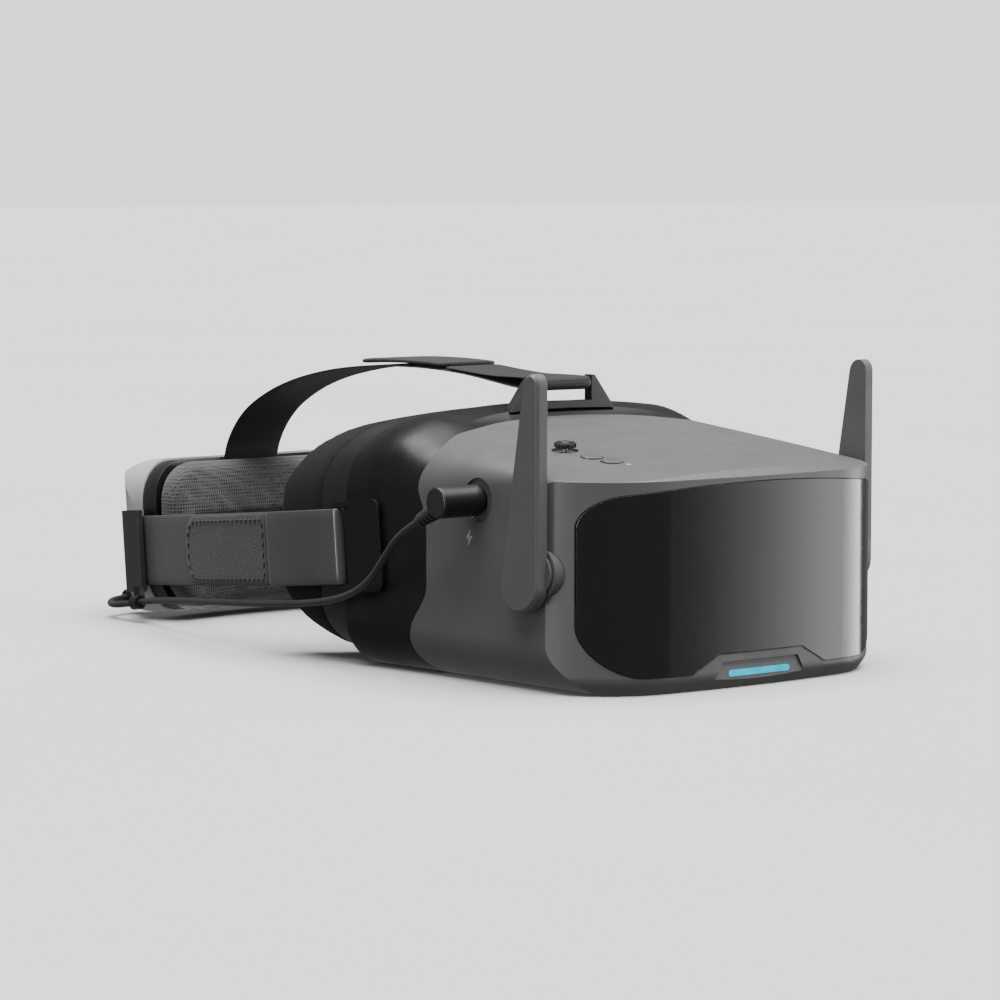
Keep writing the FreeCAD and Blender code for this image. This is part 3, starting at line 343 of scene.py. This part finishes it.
def rubber(name, color, roughness=0.55):
    finish = Finish(name, roughness, Sheen_Weight=0.08)
    bloom = finish.mapped(finish.noise(6.0, 4.0), 0.0, 1.0)
    finish.color(finish.blend(bloom, color, scaled(color, 1.5)))
    finish.rough(finish.mapped(finish.noise(3.0, 3.0), roughness - 0.06, roughness + 0.08))
    finish.rounded(0.2)
    return finish.bump(finish.noise(0.35, 3.0), 0.02, 0.5).material


def metal(name, color, roughness=0.32):
    """Turned or stamped metal with fine brush lines."""
    finish = Finish(name, roughness, metallic=1.0)
    lines = finish.noise(0.25, 3.0, finish.stretched(0.08, 1.0, 1.0))
    finish.color(finish.blend(finish.mapped(lines, 0.0, 1.0), scaled(color, 0.82), color))
    finish.rough(finish.mapped(lines, roughness - 0.08, roughness + 0.1))
    finish.rounded(0.15)
    return finish.bump(lines, 0.01, 0.5).material


def circuit():
    """Solder-masked board with copper traces and pads."""
    finish = Finish("circuit_board", 0.38)
    traces = finish.ribs(1.6, "X", wobble=3.0)
    rows = finish.ribs(2.2, "Z", wobble=3.0)
    lines = finish.mapped(finish.combine(traces, rows, "MAXIMUM"), 0.0, 1.0, 0.86, 0.92)
    board = finish.blend(lines, (0.012, 0.075, 0.035), (0.03, 0.16, 0.07))
    pads = finish.mapped(finish.cells(3.4), 1.0, 0.0, 0.08, 0.12)
    finish.color(finish.blend(pads, board, (0.62, 0.48, 0.2)))
    return finish.bump(lines, 0.03, 0.6).material


GROOVE_PITCH = 1.2        # of the lens, millimetres


def lens_plastic():
    """Clear moulded lens with concentric grooves about the eye line."""
    finish = Finish("lens_clear", 0.06, Transmission_Weight=0.95, IOR=1.49)
    low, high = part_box("fresnel_lens")
    centred = finish.add("Mapping")
    middle = (low + high) / 2
    centred.inputs["Location"].default_value = (-middle.x, -middle.y, -middle.z)
    finish.links.new(finish.space, centred.inputs["Vector"])
    rings = finish.add("TexWave", wave_type="RINGS", rings_direction="Y", wave_profile="SAW")
    rings.inputs["Scale"].default_value = 1000.0 / GROOVE_PITCH / WAVES_AT_SCALE_ONE
    finish.links.new(centred.outputs["Vector"], rings.inputs["Vector"])
    tint = finish.blend(rings.outputs["Fac"], (0.80, 0.85, 0.88), (0.93, 0.95, 0.96))
    finish.color(tint)
    return finish.bump(rings.outputs["Fac"], 0.15, 0.4).material


def display_glass():
    """Unlit screen: black glass with a faint pixel grid and violet cast."""
    finish = Finish("display_glass", 0.12, Coat_Weight=0.6, Coat_Roughness=0.05)
    grid = finish.combine(finish.ribs(0.5, "X"), finish.ribs(0.5, "Z"))
    cast = finish.mapped(finish.noise(40.0, 1.0), 0.0, 1.0)
    tone = finish.blend(cast, (0.010, 0.010, 0.016), (0.022, 0.016, 0.034))
    finish.color(finish.blend(finish.mapped(grid, 0.0, 0.5, 0.6, 1.0), tone, (0.03, 0.03, 0.05)))
    return finish.bump(grid, 0.004, 0.3).material


def cell_sleeve():
    """Shrink sleeve on a round cell, slightly wrinkled."""
    finish = Finish("cell_sleeve", 0.3, Coat_Weight=0.3)
    wrinkles = finish.noise(4.0, 3.0, finish.stretched(0.25, 1.0, 1.0))
    finish.color(finish.blend(finish.mapped(wrinkles, 0.0, 1.0), (0.02, 0.13, 0.38), (0.04, 0.2, 0.5)))
    return finish.bump(wrinkles, 0.2, 0.4).material


def print_ink():
    finish = Finish("print_ink", 0.5)
    wornness = finish.mapped(finish.noise(0.7, 3.0), 0.0, 0.6, 0.5, 0.8)
    finish.color(finish.blend(wornness, (0.50, 0.505, 0.51), (0.36, 0.36, 0.37)))
    return finish.bump(finish.noise(0.3, 2.0), 0.01, 0.3).material


def sewing_thread(name, color):
    finish = Finish(name, 0.55, Sheen_Weight=0.3)
    twist = finish.noise(0.3, 2.0)
    finish.color(finish.blend(finish.mapped(twist, 0.0, 1.0), color, scaled(color, 1.8)))
    return finish.bump(twist, 0.05, 0.5).material


GREY = (0.150, 0.151, 0.155)
MATERIALS = {
    "housing": moulded("housing_grey", GREY, 0.42, Specular_IOR_Level=0.45),
    "shell": moulded("shell_black", (0.0085, 0.0085, 0.0092), 0.36, 0.5, 0.012, 0.04,
                      Specular_IOR_Level=0.3),
    "black": moulded("frame_black", (0.010, 0.010, 0.011), 0.40, 0.4, 0.02, 0.05),
    "buttons": moulded("button_black", (0.010, 0.010, 0.011), 0.36, 0.35, 0.015, 0.2),
    "keys": moulded("button_grey", scaled(GREY, 0.85), 0.38, 0.35, 0.015, 0.2),
    "bracket": moulded("bracket_grey", (0.042, 0.042, 0.044), 0.38, 0.4, 0.02, 0.10),
    "plug": moulded("plug_black", (0.014, 0.014, 0.015), 0.38, 0.35, 0.03, 0.15),
    "case": moulded("case_light_grey", (0.58, 0.583, 0.588), 0.45, 0.45, 0.02, 0.2),
    "visor": visor_plastic(),
    "glow": glowing(),
    "status": status_light(),
    "strap": webbing("strap_grey", (0.098, 0.098, 0.101), 0.95, 0.035, 0.15, roughness=0.27),
    "tab": loop_fabric("tab_loop_grey", (0.038, 0.038, 0.039)),
    "dark_strap": webbing("strap_dark", (0.010, 0.010, 0.0105), 1.1, 0.10, 0.12, roughness=0.55),
    "dark_loop": loop_fabric("strap_dark_loop", (0.008, 0.008, 0.0085), 0.9),
    "pad": spacer_mesh(),
    "mask": mask_fabric(),
    "rubber": rubber("rubber_black", (0.012, 0.012, 0.0125)),
    "cable": rubber("cable_black", (0.022, 0.022, 0.023), 0.38),
    "steel": metal("bare_steel", (0.62, 0.62, 0.63)),
    "can": metal("module_can", (0.70, 0.70, 0.71), 0.4),
    "brass": metal("element_brass", (0.78, 0.56, 0.25), 0.28),
    "board": circuit(),
    "lens": lens_plastic(),
    "display": display_glass(),
    "cells": cell_sleeve(),
    "ink": print_ink(),
    "thread": sewing_thread("thread_black", (0.006, 0.006, 0.0065)),
    "grey_thread": sewing_thread("thread_grey", (0.06, 0.06, 0.062)),
}

NODE_FINISH = {
    "housing": ["front_housing", "antenna_blade_right", "antenna_blade_left", "antenna_pivots"],
    "shell": ["rear_shell", "strap_anchor_right", "strap_anchor_left"],
    "black": ["face_frame", "lens_frame", "light_hood", "display_frame", "dc_socket",
              "key_switches", "joystick_base", "joystick_carrier", "top_bracket",
              "battery_frame", "cable_clip", "power_outlet"],
    "bracket": ["rear_bracket_right", "rear_bracket_left"],
    "buttons": ["joystick_cap"],
    "keys": ["button_rear", "button_front"],
    "plug": ["dc_plug"],
    "case": ["battery_case"],
    "visor": ["visor"],
    "glow": ["light_bar"],
    "status": ["status_led"],
    "rubber": ["strain_relief"],
    "steel": ["card_slot", "joystick_gimbal", "joystick_stem", "antenna_washers",
              "antenna_clip_right", "antenna_clip_left", "dc_plug_barrel", "cell_contacts",
              "housing_screws"],
    "can": ["receiver_module"],
    "brass": ["antenna_element_right", "antenna_element_left"],
    "board": ["led_board", "main_board", "control_board", "battery_board"],
    "lens": ["fresnel_lens"],
    "display": ["display_panel"],
    "cells": ["battery_cells"],
}


def finish_nodes():
    for finish, names in NODE_FINISH.items():
        for name in names:
            slots = NODES[name].data.materials
            slots.clear()
            slots.append(MATERIALS[finish])


# -------------------------------------------------------------- mesh helpers
def new_object(name, mesh, material, body=ROOT):
    obj = bpy.data.objects.new(name, mesh)
    bpy.context.scene.collection.objects.link(obj)
    mesh.materials.clear()
    mesh.materials.append(MATERIALS[material])
    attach(obj, body)
    return obj


def smooth_line(points, step):
    """Even points along a smooth curve through the given ones."""
    fine = []
    last = len(points) - 1
    for i in range(last):
        p0 = points[max(i - 1, 0)]
        p1 = points[i]
        p2 = points[i + 1]
        p3 = points[min(i + 2, last)]
        for k in range(16):
            t = k / 16
            fine.append(0.5 * (2 * p1 + (p2 - p0) * t + (2 * p0 - 5 * p1 + 4 * p2 - p3) * t * t
                               + (3 * p1 - p0 - 3 * p2 + p3) * t ** 3))
    fine.append(points[last])
    lengths = [0.0]
    for a, b in zip(fine, fine[1:]):
        lengths.append(lengths[-1] + (b - a).length)
    count = max(2, round(lengths[-1] / step))
    line = []
    j = 0
    for i in range(count + 1):
        goal = lengths[-1] * i / count
        while j < len(fine) - 2 and lengths[j + 1] < goal:
            j += 1
        share = (goal - lengths[j]) / max(lengths[j + 1] - lengths[j], 1e-9)
        line.append(fine[j].lerp(fine[j + 1], min(share, 1.0)))
    return line


def mirrored_x(points):
    return [Vector((-p.x, p.y, p.z)) for p in points]


def end_width(distance, half, radius):
    """Half-width of a strap near a rounded end."""
    if radius <= 0 or distance >= radius:
        return half
    return half - radius + math.sqrt(max(radius ** 2 - (radius - distance) ** 2, 0.0))


BAND_COLUMNS = 14         # faces across a band
RIPPLE_LENGTH = 0.011     # how fast a band's slight ripple comes and goes


def band(name, line, across, width, thick, material, round_end=0.0, round_start=0.0,
         ripple=0.0):
    """A woven band with soft edges that follows a line; across is its width direction."""
    columns = BAND_COLUMNS
    half = width / 2
    lengths = [0.0]
    for a, b in zip(line, line[1:]):
        lengths.append(lengths[-1] + (b - a).length)
    mesh = bpy.data.meshes.new(name)
    shape = bmesh.new()
    uv_of = {}
    rings = []
    for i, point in enumerate(line):
        heading = (line[min(i + 1, len(line) - 1)] - line[max(i - 1, 0)]).normalized()
        outward = heading.cross(across).normalized()
        reach = min(end_width(lengths[-1] - lengths[i], half, round_end),
                    end_width(lengths[i], half, round_start))
        reach = max(reach, 0.35 * half)
        top = []
        low = []
        for c in range(columns + 1):
            share = -math.cos(math.pi * c / columns)
            v = share * reach
            edge = 1.0 - 0.55 * abs(share) ** 12
            wave = ripple * math.sin(lengths[i] / RIPPLE_LENGTH + 2.0 * share)
            for side, row in ((1, top), (-1, low)):
                offset = side * thick / 2 * edge + wave
                vertex = shape.verts.new(point + across * v + outward * offset)
                uv_of[vertex] = (lengths[i], v)
                row.append(vertex)
        rings.append(top + low[::-1])
    around = len(rings[0])
    for a, b in zip(rings, rings[1:]):
        for c in range(around):
            d = (c + 1) % around
            shape.faces.new((a[c], a[d], b[d], b[c]))
    for ring in (rings[0][::-1], rings[-1]):
        for c in range(columns):
            shape.faces.new((ring[c], ring[c + 1], ring[around - 2 - c], ring[around - 1 - c]))
    bmesh.ops.recalc_face_normals(shape, faces=shape.faces)
    layer = shape.loops.layers.uv.new("strap")
    for face in shape.faces:
        face.smooth = True
        for loop in face.loops:
            loop[layer].uv = uv_of[loop.vert]
    shape.to_mesh(mesh)
    shape.free()
    return new_object(name, mesh, material)


def stitches(name, runs, up, material="thread", length=0.0026,
             gap=0.0014, thick=0.0009):
    """Thread stitches laid along runs of points; up(point) is the cloth's normal there."""
    mesh = bpy.data.meshes.new(name)
    shape = bmesh.new()
    for run in runs:
        line = smooth_line(run, length + gap)
        for a, b in zip(line, line[1:]):
            way = (b - a).normalized()
            normal = up((a + b) / 2)
            side = way.cross(normal).normalized()
            centre = (a + b) / 2 + normal * thick * 0.35
            turn = Matrix((way, side, normal)).transposed().to_4x4()
            size = Matrix.Diagonal((length / 2, thick / 2, thick / 2, 1.0))
            place = Matrix.Translation(centre) @ turn @ size
            bmesh.ops.create_icosphere(shape, subdivisions=2, radius=1.0, matrix=place)
    for face in shape.faces:
        face.smooth = True
    shape.to_mesh(mesh)
    shape.free()
    return new_object(name, mesh, material)


def soft_copy(name, node, voxel_mm, material):
    """An evenly meshed copy of a soft solid, ready to be swollen."""
    mesh = NODES[node].data.copy()
    mesh.name = name
    obj = new_object(name, mesh, material)
    remesh = obj.modifiers.new("even", "REMESH")
    remesh.mode = "VOXEL"
    remesh.voxel_size = voxel_mm * MM
    bake(obj)
    return obj


def bake(obj):
    """Replaces the mesh by what its modifiers make of it."""
    bpy.context.view_layer.update()
    graph = bpy.context.evaluated_depsgraph_get()
    result = bpy.data.meshes.new_from_object(obj.evaluated_get(graph))
    obj.modifiers.clear()
    old = obj.data
    obj.data = result
    name = old.name
    bpy.data.meshes.remove(old)
    result.name = name
    for polygon in result.polygons:
        polygon.use_smooth = True


def relax(obj, rounds, share=0.5):
    smooth = obj.modifiers.new("relax", "SMOOTH")
    smooth.factor = share
    smooth.iterations = rounds
    bake(obj)


def swell(obj, pressure, frames, cap_mm, held):
    """Cloth simulation under air pressure; held(point) is 1 where the cloth is glued down."""
    rest = [v.co.copy() for v in obj.data.vertices]
    group = obj.vertex_groups.new(name="glued")
    for i, point in enumerate(rest):
        group.add([i], held(point), "REPLACE")
    cloth = obj.modifiers.new("cloth", "CLOTH")
    cloth.settings.quality = 4
    cloth.settings.mass = 0.2
    cloth.settings.tension_stiffness = 12
    cloth.settings.compression_stiffness = 8
    cloth.settings.bending_stiffness = 0.6
    cloth.settings.use_pressure = True
    cloth.settings.uniform_pressure_force = pressure
    cloth.settings.effector_weights.gravity = 0.0
    cloth.settings.vertex_group_mass = "glued"
    cloth.point_cache.frame_start = 1
    cloth.point_cache.frame_end = frames
    for step in range(1, frames + 1):
        bpy.context.scene.frame_set(step)
    bake(obj)
    cap = cap_mm * MM
    for vertex, start in zip(obj.data.vertices, rest):
        move = vertex.co - start
        if move.length > cap:
            vertex.co = start + move * (cap / move.length)
    bpy.context.scene.frame_set(1)


def crease(obj, depth, distance_to_seam, half_width):
    """Pulls the cloth in along a sewn seam."""
    normals = [v.normal.copy() for v in obj.data.vertices]
    for vertex, normal in zip(obj.data.vertices, normals):
        d = distance_to_seam(vertex.co) / half_width
        if abs(d) < 3.0:
            vertex.co -= normal * depth * math.exp(-d * d)


# --------------------------------------------------------------- soft pieces
MASK_GLUE = 0.012         # depth of the mask's front that stays fixed to its frame


def mask_cushion():
    cushion = soft_copy("mask_cushion", "face_foam", 2.2, "mask")
    relax(cushion, 4)
    low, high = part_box("face_foam")
    glued_to = low.y + MASK_GLUE

    def held(point):
        return 1.0 if point.y < glued_to else 0.0

    swell(cushion, 1.5, 14, 1.4, held)
    relax(cushion, 2)
    subdivide(cushion)
    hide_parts("face_foam")


def subdivide(obj):
    modifier = obj.modifiers.new("fine", "SUBSURF")
    modifier.levels = 1
    modifier.render_levels = 1


PAD_BOW = 0.008           # how far the pad's ends come forward of its middle
PAD_GLUE = 0.006          # depth of the pad's back that stays fixed to the battery box
PAD_SEAMS = (0.30, 0.62)  # share of the pad's height
SEAM_HALF_LENGTH = 0.044
SEAM_DEPTH = 0.0022
SEAM_HALF_WIDTH = 0.0017


def back_pad():
    """Mesh-covered cushion on the battery box, with two sewn channels across it."""
    pad = soft_copy("back_pad", "head_pad", 2.0, "pad")
    relax(pad, 3)
    low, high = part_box("head_pad")
    glued_to = high.y - PAD_GLUE

    def held(point):
        return 1.0 if point.y > glued_to - PAD_BOW * abs(point.x / high.x) ** 2 else 0.0

    swell(pad, 3.0, 18, 2.6, held)
    subdivide(pad)
    bake(pad)
    height = high.z - low.z
    for share in PAD_SEAMS:
        level = low.z + height * share

        def to_seam(point, level=level):
            outside = max(abs(point.x) - SEAM_HALF_LENGTH, 0.0)
            return math.hypot(point.z - level, outside) if point.y < glued_to else 1.0

        crease(pad, SEAM_DEPTH, to_seam, SEAM_HALF_WIDTH)
    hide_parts("head_pad")


def nose_flap():
    flap = soft_copy("nose_flap_soft", "nose_flap", 0.5, "rubber")
    relax(flap, 3)
    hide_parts("nose_flap")


def wrap(centre_u, centre_v, radius, start_deg, end_deg):
    steps = 8
    points = []
    for i in range(steps + 1):
        angle = math.radians(start_deg + (end_deg - start_deg) * i / steps)
        points.append((centre_u + radius * math.cos(angle), centre_v + radius * math.sin(angle)))
    return points


# side strap seen from above, in the tilted frame, right side: the layer next to the
# head, the layer folded back over the bar, and the tab sewn over the fold's end
INNER_STRAP = [(-88.4, 176), (-89.0, 186), (-88.5, 197), (-87.2, 209), (-83.8, 232),
               (-79.4, 256), (-74.0, 282), (-68.0, 307), (-64.4, 322), (-61.9, 333), (-60.7, 341)]
OUTER_FOLD = [(-89.75, 202.4), (-91.1, 192), (-91.9, 179), (-91.3, 168.5)]
TAB_LINE = [(-89.45, 203.4), (-88.76, 209.3), (-85.37, 232.3), (-80.95, 256.3), (-75.97, 280.7)]


def side_strap(side):
    """Elastic strap folded round its bar, with the stitched tab that closes the fold."""
    flip = mirrored_x if side == "left" else list
    around_bar = wrap(STRAP_BAR[0], STRAP_BAR[1], STRAP_WRAP_R, -180, 0)
    path = OUTER_FOLD + around_bar + [(-86.3, 166)] + INNER_STRAP
    line = flip([tilted(x, y, TILT_Z) for x, y in path])
    line = smooth_line(line, 0.0012)
    strap = band("side_strap_" + side + "_cloth", line, UP_TILTED, STRAP_H * MM, STRAP_T * MM,
                 "strap", ripple=0.00006)
    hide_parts("side_strap_" + side)

    tab_line = smooth_line(flip([tilted(x, y, TILT_Z) for x, y in TAB_LINE]), 0.0012)
    tab_width = (STRAP_H - 1.2) * MM
    tab = band("strap_tab_" + side + "_cloth", tab_line, UP_TILTED, tab_width, STRAP_T * MM,
               "tab", round_end=0.0095, ripple=0.00005)
    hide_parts("strap_tab_" + side)
    tab_stitching(side, tab_line, tab_width)


def length_of(line):
    return sum((b - a).length for a, b in zip(line, line[1:]))


def outside_of(line, across):
    """Function giving the direction away from the head at a point near the line."""
    def up(point):
        i = min(range(len(line)), key=lambda k: (line[k] - point).length)
        heading = (line[min(i + 1, len(line) - 1)] - line[max(i - 1, 0)]).normalized()
        normal = heading.cross(across).normalized()
        return normal if normal.x * point.x > 0 else -normal
    return up


SEAM_INSET = 0.0024       # from the tab's edge to its stitches
SEAM_CORNER = 0.0080      # radius of the stitched corners


def tab_stitching(side, line, width):
    """Dashed seam round the tab, close to its edge and round its free end."""
    up = outside_of(line, UP_TILTED)
    half = width / 2 - SEAM_INSET
    total = length_of(line)
    seam = []
    for sign in (1, -1):
        points = []
        travelled = 0.0
        for i, point in enumerate(line):
            if i:
                travelled += (line[i] - line[i - 1]).length
            left = total - SEAM_INSET - travelled
            if travelled < 0.002 or left < 0:
                continue
            reach = end_width(left, half, SEAM_CORNER)
            points.append(point + UP_TILTED * sign * reach + up(point) * STRAP_T / 2 * MM)
        seam.append(points[::3] + [points[-1]])
    near_start = seam[0][0]
    far_start = seam[1][0]
    end_a = seam[0][-1]
    end_b = seam[1][-1]
    across_start = [near_start.lerp(far_start, k / 4) for k in range(5)]
    across_end = [end_a.lerp(end_b, k / 4) for k in range(5)]
    runs = [seam[0], seam[1], across_start, across_end]
    stitches("tab_seam_" + side, runs, up)


# crown strap seen from the side, as (y, z)
TOP_UPPER = [(178, 117.35), (162, 116.0), (147, 115.1), (134, 115.1)]
TOP_LOWER = [(134, 111.2), (145, 112.6), (157, 114.2), (170, 115.5), (184, 116.3), (206, 116.7),
             (228, 116.0), (247, 114.5), (264, 112.2), (283, 108.4), (301, 103.0), (317.5, 95.4),
             (328.0, 87.6), (335.2, 78.6), (338.6, 70.5), (339.3, 65.5)]
TOP_TAB = [(179.5, 118.25), (192, 118.75), (206, 118.95), (222, 118.7), (238, 117.85)]


def top_strap():
    """Crown strap doubled over its bracket, closed by a hook-and-loop overlap."""
    across = Vector((1, 0, 0))
    loop = wrap(TOP_BAR[0], TOP_BAR[1], TOP_WRAP_R, 90, 270)
    line = smooth_line([at(0, y, z) for y, z in TOP_UPPER + loop + TOP_LOWER], 0.0014)
    strap = band("top_strap_cloth", line, across, TOP_STRAP_W * MM, TOP_STRAP_T * MM,
                 "dark_strap", ripple=0.00005)
    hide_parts("top_strap")

    tab_line = smooth_line([at(0, y, z) for y, z in TOP_TAB], 0.0012)
    width = (TOP_STRAP_W + 0.6) * MM
    tab = band("top_strap_overlap", tab_line, across, width, 0.0021, "dark_loop",
               round_end=0.004, round_start=0.004)
    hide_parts("top_strap_tab")


# ---------------------------------------------------------------- small trim
def lead():
    """Supply lead from the battery box, through its clip, to the plug."""
    curve = bpy.data.curves.new("supply_lead", "CURVE")
    curve.dimensions = "3D"
    curve.bevel_depth = LEAD_D / 2 * MM
    curve.bevel_resolution = 6
    curve.resolution_u = 10
    curve.use_fill_caps = True
    spline = curve.splines.new("NURBS")
    points = [at(*p) for p in reversed(LEAD_POINTS)]
    spline.points.add(len(points) - 1)
    for place, point in zip(spline.points, points):
        place.co = (*point, 1.0)
    spline.order_u = 3
    spline.use_endpoint_u = True
    curve.materials.append(MATERIALS["cable"])
    obj = bpy.data.objects.new("supply_lead", curve)
    bpy.context.scene.collection.objects.link(obj)
    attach(obj, ROOT)
    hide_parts("dc_lead")


BOLT_AT = (77.4, 57.3)    # y and z on the housing's side
BOLT_OUTLINE = [(0.9, 3.6), (-2.1, -0.5), (-0.2, -0.5), (-0.9, -3.6), (2.1, 0.6), (0.3, 0.6)]
INK_THICK = 0.00006


def charge_mark():
    """Small lightning bolt printed beside the supply socket."""
    side_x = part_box("front_housing")[0].x
    mesh = bpy.data.meshes.new("charge_mark")
    shape = bmesh.new()
    ring = []
    for along, up in BOLT_OUTLINE:
        spot = at(0, BOLT_AT[0] - along, BOLT_AT[1] + up)
        start = Vector((side_x - 0.05, spot.y, spot.z))
        hit = NODES["front_housing"].ray_cast(start, Vector((1, 0, 0)))
        ring.append(shape.verts.new(hit[1] + hit[2] * INK_THICK))
    shape.faces.new(ring)
    bmesh.ops.triangulate(shape, faces=shape.faces)
    shape.to_mesh(mesh)
    shape.free()
    new_object("charge_mark", mesh, "ink")


# --------------------------------------------------------------------- stage
def aimed(obj, place, target):
    obj.location = place
    obj.rotation_mode = "QUATERNION"
    obj.rotation_quaternion = (Vector(target) - Vector(place)).to_track_quat("-Z", "Y")
    bpy.context.scene.collection.objects.link(obj)
    return obj


def soft_box(name, place, target, size, power, only_gloss=True):
    """Rectangular light; one that is only seen in gloss shapes the highlights."""
    light = bpy.data.lights.new(name, "AREA")
    light.shape = "RECTANGLE"
    light.size, light.size_y = size
    light.energy = power
    obj = aimed(bpy.data.objects.new(name, light), place, target)
    obj.visible_diffuse = not only_gloss
    return obj


def fading_card(name, place, target, size, bright):
    """Reflector card whose glow grows from one side to the other, seen only in gloss."""
    mesh = bpy.data.meshes.new(name)
    shape = bmesh.new()
    bmesh.ops.create_grid(shape, x_segments=1, y_segments=1, size=0.5)
    bmesh.ops.scale(shape, vec=(size[0], size[1], 1.0), verts=shape.verts)
    shape.to_mesh(mesh)
    shape.free()
    card = bpy.data.materials.new(name)
    card.use_nodes = True
    nodes = card.node_tree.nodes
    links = card.node_tree.links
    nodes.clear()
    place_node = nodes.new("ShaderNodeTexCoord")
    split = nodes.new("ShaderNodeSeparateXYZ")
    ramp = nodes.new("ShaderNodeMapRange")
    ramp.interpolation_type = "SMOOTHERSTEP"
    ramp.inputs["From Min"].default_value = 0.0
    ramp.inputs["From Max"].default_value = 1.0
    ramp.inputs["To Min"].default_value = AROUND_GLOW
    ramp.inputs["To Max"].default_value = bright
    glow = nodes.new("ShaderNodeEmission")
    out = nodes.new("ShaderNodeOutputMaterial")
    links.new(place_node.outputs["Generated"], split.inputs["Vector"])
    links.new(split.outputs["X"], ramp.inputs["Value"])
    links.new(ramp.outputs["Result"], glow.inputs["Strength"])
    links.new(glow.outputs["Emission"], out.inputs["Surface"])
    mesh.materials.append(card)
    obj = aimed(bpy.data.objects.new(name, mesh), place, target)
    for kind in ("camera", "diffuse", "shadow", "transmission"):
        setattr(obj, "visible_" + kind, False)


def floor():
    mesh = bpy.data.meshes.new("floor")
    shape = bmesh.new()
    bmesh.ops.create_grid(shape, x_segments=1, y_segments=1, size=FLOOR_SIZE)
    shape.to_mesh(mesh)
    shape.free()
    obj = bpy.data.objects.new("floor", mesh)
    bpy.context.scene.collection.objects.link(obj)
    obj.location = (0, 0, -FLOOR_GAP)
    paint = Finish("floor_pale", 0.9, Specular_IOR_Level=0.0)
    paint.color(paint.blend(paint.noise(400.0, 2.0), (0.84, 0.84, 0.84), (0.88, 0.88, 0.88)))
    mesh.materials.append(paint.material)
    obj.visible_glossy = False
    obj.visible_diffuse = False


def sky():
    world = bpy.data.worlds.new("studio")
    world.use_nodes = True
    nodes = world.node_tree.nodes
    background = nodes["Background"]
    background.inputs["Color"].default_value = (1.0, 1.0, 1.0, 1.0)
    seen = nodes.new("ShaderNodeLightPath")
    level = nodes.new("ShaderNodeMapRange")
    level.inputs["To Min"].default_value = AROUND_GLOW
    level.inputs["To Max"].default_value = FLOOR_GLOW
    world.node_tree.links.new(seen.outputs["Is Camera Ray"], level.inputs["Value"])
    world.node_tree.links.new(level.outputs["Result"], background.inputs["Strength"])
    bpy.context.scene.world = world


def studio():
    floor()
    sky()
    sun = bpy.data.lights.new("overhead", "SUN")
    sun.energy = SUN_POWER
    sun.angle = SUN_SPREAD
    aimed(bpy.data.objects.new("overhead", sun), (0.15, -0.25, 2.0), (0, 0, 0))
    soft_box("top_gloss", (-0.5, 0.35, 1.3), (-0.05, -0.05, 0.09), (0.7, 0.5), 15.0)
    soft_box("side_strip", (-1.5, -0.02, 0.40), (-0.09, 0.02, 0.05), (0.26, 0.9), 17.0)
    fading_card("front_card", (1.26, -1.0, -0.1), (0.0, -0.14, 0.05), (1.9, 1.2), 9.0)


def camera():
    data = bpy.data.cameras.new("camera")
    data.lens = CAMERA_LENS
    data.sensor_width = 36.0
    data.clip_start = 0.05
    data.clip_end = 30.0
    obj = bpy.data.objects.new("camera", data)
    bpy.context.scene.collection.objects.link(obj)
    obj.location = at(*CAMERA_AT)
    flat = math.cos(CAMERA_DROP)
    look = Vector((math.sin(CAMERA_TURN) * flat, math.cos(CAMERA_TURN) * flat, -math.sin(CAMERA_DROP)))
    obj.rotation_mode = "QUATERNION"
    obj.rotation_quaternion = look.to_track_quat("-Z", "Y")
    bpy.context.scene.camera = obj


camera()
studio()
finish_nodes()
mask_cushion()
back_pad()
nose_flap()
for side in ("right", "left"):
    side_strap(side)
top_strap()
lead()
charge_mark()
